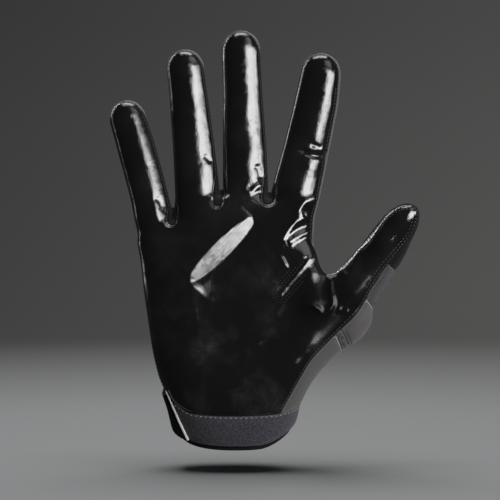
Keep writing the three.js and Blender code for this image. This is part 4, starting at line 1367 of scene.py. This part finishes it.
def make_piping():
    """The piping up the strap's front edge, thinner at its top."""
    t = np.linspace(0, 1, 40)
    x = STRAP["x1"] + (STRAP["x2"] - STRAP["x1"]) * t + PIPING["aside"]
    z = STRAP["z1"] + (STRAP["z2"] - STRAP["z1"]) * t
    path = np.stack([x, front_of_skin(x, z), z], 1)
    thickness = smoothstep(0, PIPING["thick_from"], t)
    radius = PIPING["thin"] + (PIPING["radius"] - PIPING["thin"]) * thickness
    path += unit(slope_of(skin_distance, path)) * (radius + PIPING["lift"])[:, None]
    points, faces = tube(path, radius)
    piece = new_mesh("white_piping_tube", points, faces)
    piece.data.materials.append(MATERIALS["white_piping"])
    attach(piece, "root")
    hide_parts("white_piping")


make_stitch_rows()
make_piping()


# Studio: a round pale sweep, soft lights and the camera.

FLOOR_Z = -0.0205
SWEEP = {"ring": 0.5, "floor": 1.1, "bend": 0.5, "top": 2.2, "sides": 64}
# painted light: the sweep is pale near the glove and duller away from it, darker to the left than to
# the right
SWEEP_COLOURS = {
    "near": (0.55, 0.555, 0.56, 1),
    "painted_falloff_left": (0.24, 0.24, 0.235, 1),
    "painted_falloff_right": (0.42, 0.415, 0.405, 1),
}
# The sweep's colour changes between these distances from the glove, and over this width: a painted
# falloff of light, duller away from the glove and darker to its left.
PAINTED_FALLOFF_NEAR_TO_FAR = (0.3, 1.0)
PAINTED_LIGHT_LEFT_TO_RIGHT = (-0.4, 0.4)

# Upright lights round the glove, in metres. Azimuth 0 is the camera's side and 90 the thumb's.
# Those without cloth only glint.
AIM = (0.01, 0.0)
LIGHT_COLUMNS = ("azimuth", "distance", "bottom", "top", "width", "radiance", "cloth")
LIGHTS = {
    "softbox_front_right": (36.5, 0.6, 0.0, 0.285, 0.38, 6.5, True),
    "softbox_right": (65, 0.6, 0.06, 0.25, 0.22, 5.5, True),
    "softbox_high_right": (40, 0.7, 0.45, 0.95, 0.45, 0.8, True),
    "rim_left": (-112, 0.9, 0.0, 0.85, 0.2, 1.5, False),
    "rim_behind_left": (-150, 0.9, 0.25, 0.85, 0.2, 4, False),
    "fill_behind": (180, 1.2, 0.2, 0.9, 0.6, 3, True),
}
OVERHEAD = {"at": (0.0, 0.05, 1.2), "size": 0.9, "radiance": 3.2}
AIR = {"colour": (0.8, 0.85, 0.9, 1), "strength": 0.03}
CAMERA = {"at": (0.0073, -0.7279, 0.0938), "lens": 99.97, "sensor": 36}
# What the upright lights reach: everything but the floor.
OFF_FLOOR = bpy.data.collections.new("all_but_the_floor")


def sweep_material():
    """A pale floor with painted light: it turns duller into a wall away from the glove, and darker to
    its left.
    """
    material, tree, shader = new_material("pale_floor", 0.7)
    place = place_on_piece(tree)
    away = node_of(tree, "ShaderNodeVectorMath", set_operation="LENGTH", i0=place).outputs["Value"]
    x = node_of(tree, "ShaderNodeSeparateXYZ", Vector=place).outputs["X"]
    wall = blend_colours(tree, mapped(tree, x, *PAINTED_LIGHT_LEFT_TO_RIGHT),
                         SWEEP_COLOURS["painted_falloff_left"], SWEEP_COLOURS["painted_falloff_right"])
    shade = blend_colours(tree, mapped(tree, away, *PAINTED_FALLOFF_NEAR_TO_FAR), SWEEP_COLOURS["near"], wall)
    tree.links.new(shade, shader.inputs["Base Color"])
    return material


def make_sweep():
    """A round floor that bends up into a wall, seen by the camera alone."""
    floor, bend, sides = SWEEP["floor"], SWEEP["bend"], SWEEP["sides"]
    profile = [(SWEEP["ring"], 0.0), (floor, 0.0)]
    for angle in np.linspace(0, np.pi / 2, 9)[1:]:
        profile.append((floor + bend * np.sin(angle), bend - bend * np.cos(angle)))
    profile.append((floor + bend, SWEEP["top"]))
    points, faces = [(0, 0, FLOOR_Z)], []
    for r, h in profile:
        for k in range(sides):
            a = 2 * np.pi * k / sides
            points.append((r * np.cos(a), r * np.sin(a), FLOOR_Z + h))
    for k in range(sides):
        n = (k + 1) % sides
        faces.append((0, 1 + k, 1 + n))
        for ring in range(len(profile) - 1):
            a, b = 1 + ring * sides + k, 1 + ring * sides + n
            faces.append((a, a + sides, b + sides, b))
    mesh = bpy.data.meshes.new("studio_sweep")
    mesh.from_pydata(points, [], faces)
    mesh.shade_smooth()
    mesh.materials.append(sweep_material())
    sweep = bpy.data.objects.new("studio_sweep", mesh)
    bpy.context.scene.collection.objects.link(sweep)
    sweep.visible_glossy = False
    sweep.visible_diffuse = False
    OFF_FLOOR.objects.link(sweep)
    OFF_FLOOR.collection_objects[0].light_linking.link_state = "EXCLUDE"


def area_light(name, width, height, radiance):
    """A soft light, unseen by the camera."""
    data = bpy.data.lights.new(name, "AREA")
    data.shape = "RECTANGLE"
    data.size, data.size_y = width, height
    data.energy = np.pi * width * height * radiance
    light = bpy.data.objects.new(name, data)
    light.visible_camera = False
    bpy.context.scene.collection.objects.link(light)
    return light


def softbox(name, azimuth, distance, bottom, top, width, radiance, cloth):
    """An upright light that faces the glove and leaves the floor alone."""
    light = area_light(name, width, top - bottom, radiance)
    a = np.radians(azimuth)
    light.location = (AIM[0] + distance * np.sin(a), AIM[1] - distance * np.cos(a),
                      (bottom + top) / 2)
    light.rotation_euler = (np.pi / 2, 0, a)
    light.visible_diffuse = cloth
    light.light_linking.receiver_collection = OFF_FLOOR


def make_studio():
    make_sweep()
    for name, row in LIGHTS.items():
        softbox(name, **dict(zip(LIGHT_COLUMNS, row)))
    top = area_light("overhead", OVERHEAD["size"], OVERHEAD["size"], OVERHEAD["radiance"])
    top.location = OVERHEAD["at"]
    world = bpy.data.worlds.new("studio_air")
    bpy.context.scene.world = world
    world.use_nodes = True
    air = world.node_tree.nodes["Background"]
    air.inputs["Color"].default_value = AIR["colour"]
    air.inputs["Strength"].default_value = AIR["strength"]


def make_camera():
    data = bpy.data.cameras.new("camera")
    data.lens = CAMERA["lens"]
    data.sensor_width = CAMERA["sensor"]
    camera = bpy.data.objects.new("camera", data)
    camera.location = CAMERA["at"]
    camera.rotation_euler = (np.pi / 2, 0, 0)
    bpy.context.scene.collection.objects.link(camera)
    bpy.context.scene.camera = camera


make_studio()
make_camera()
bpy.context.scene.view_settings.view_transform = "Standard"
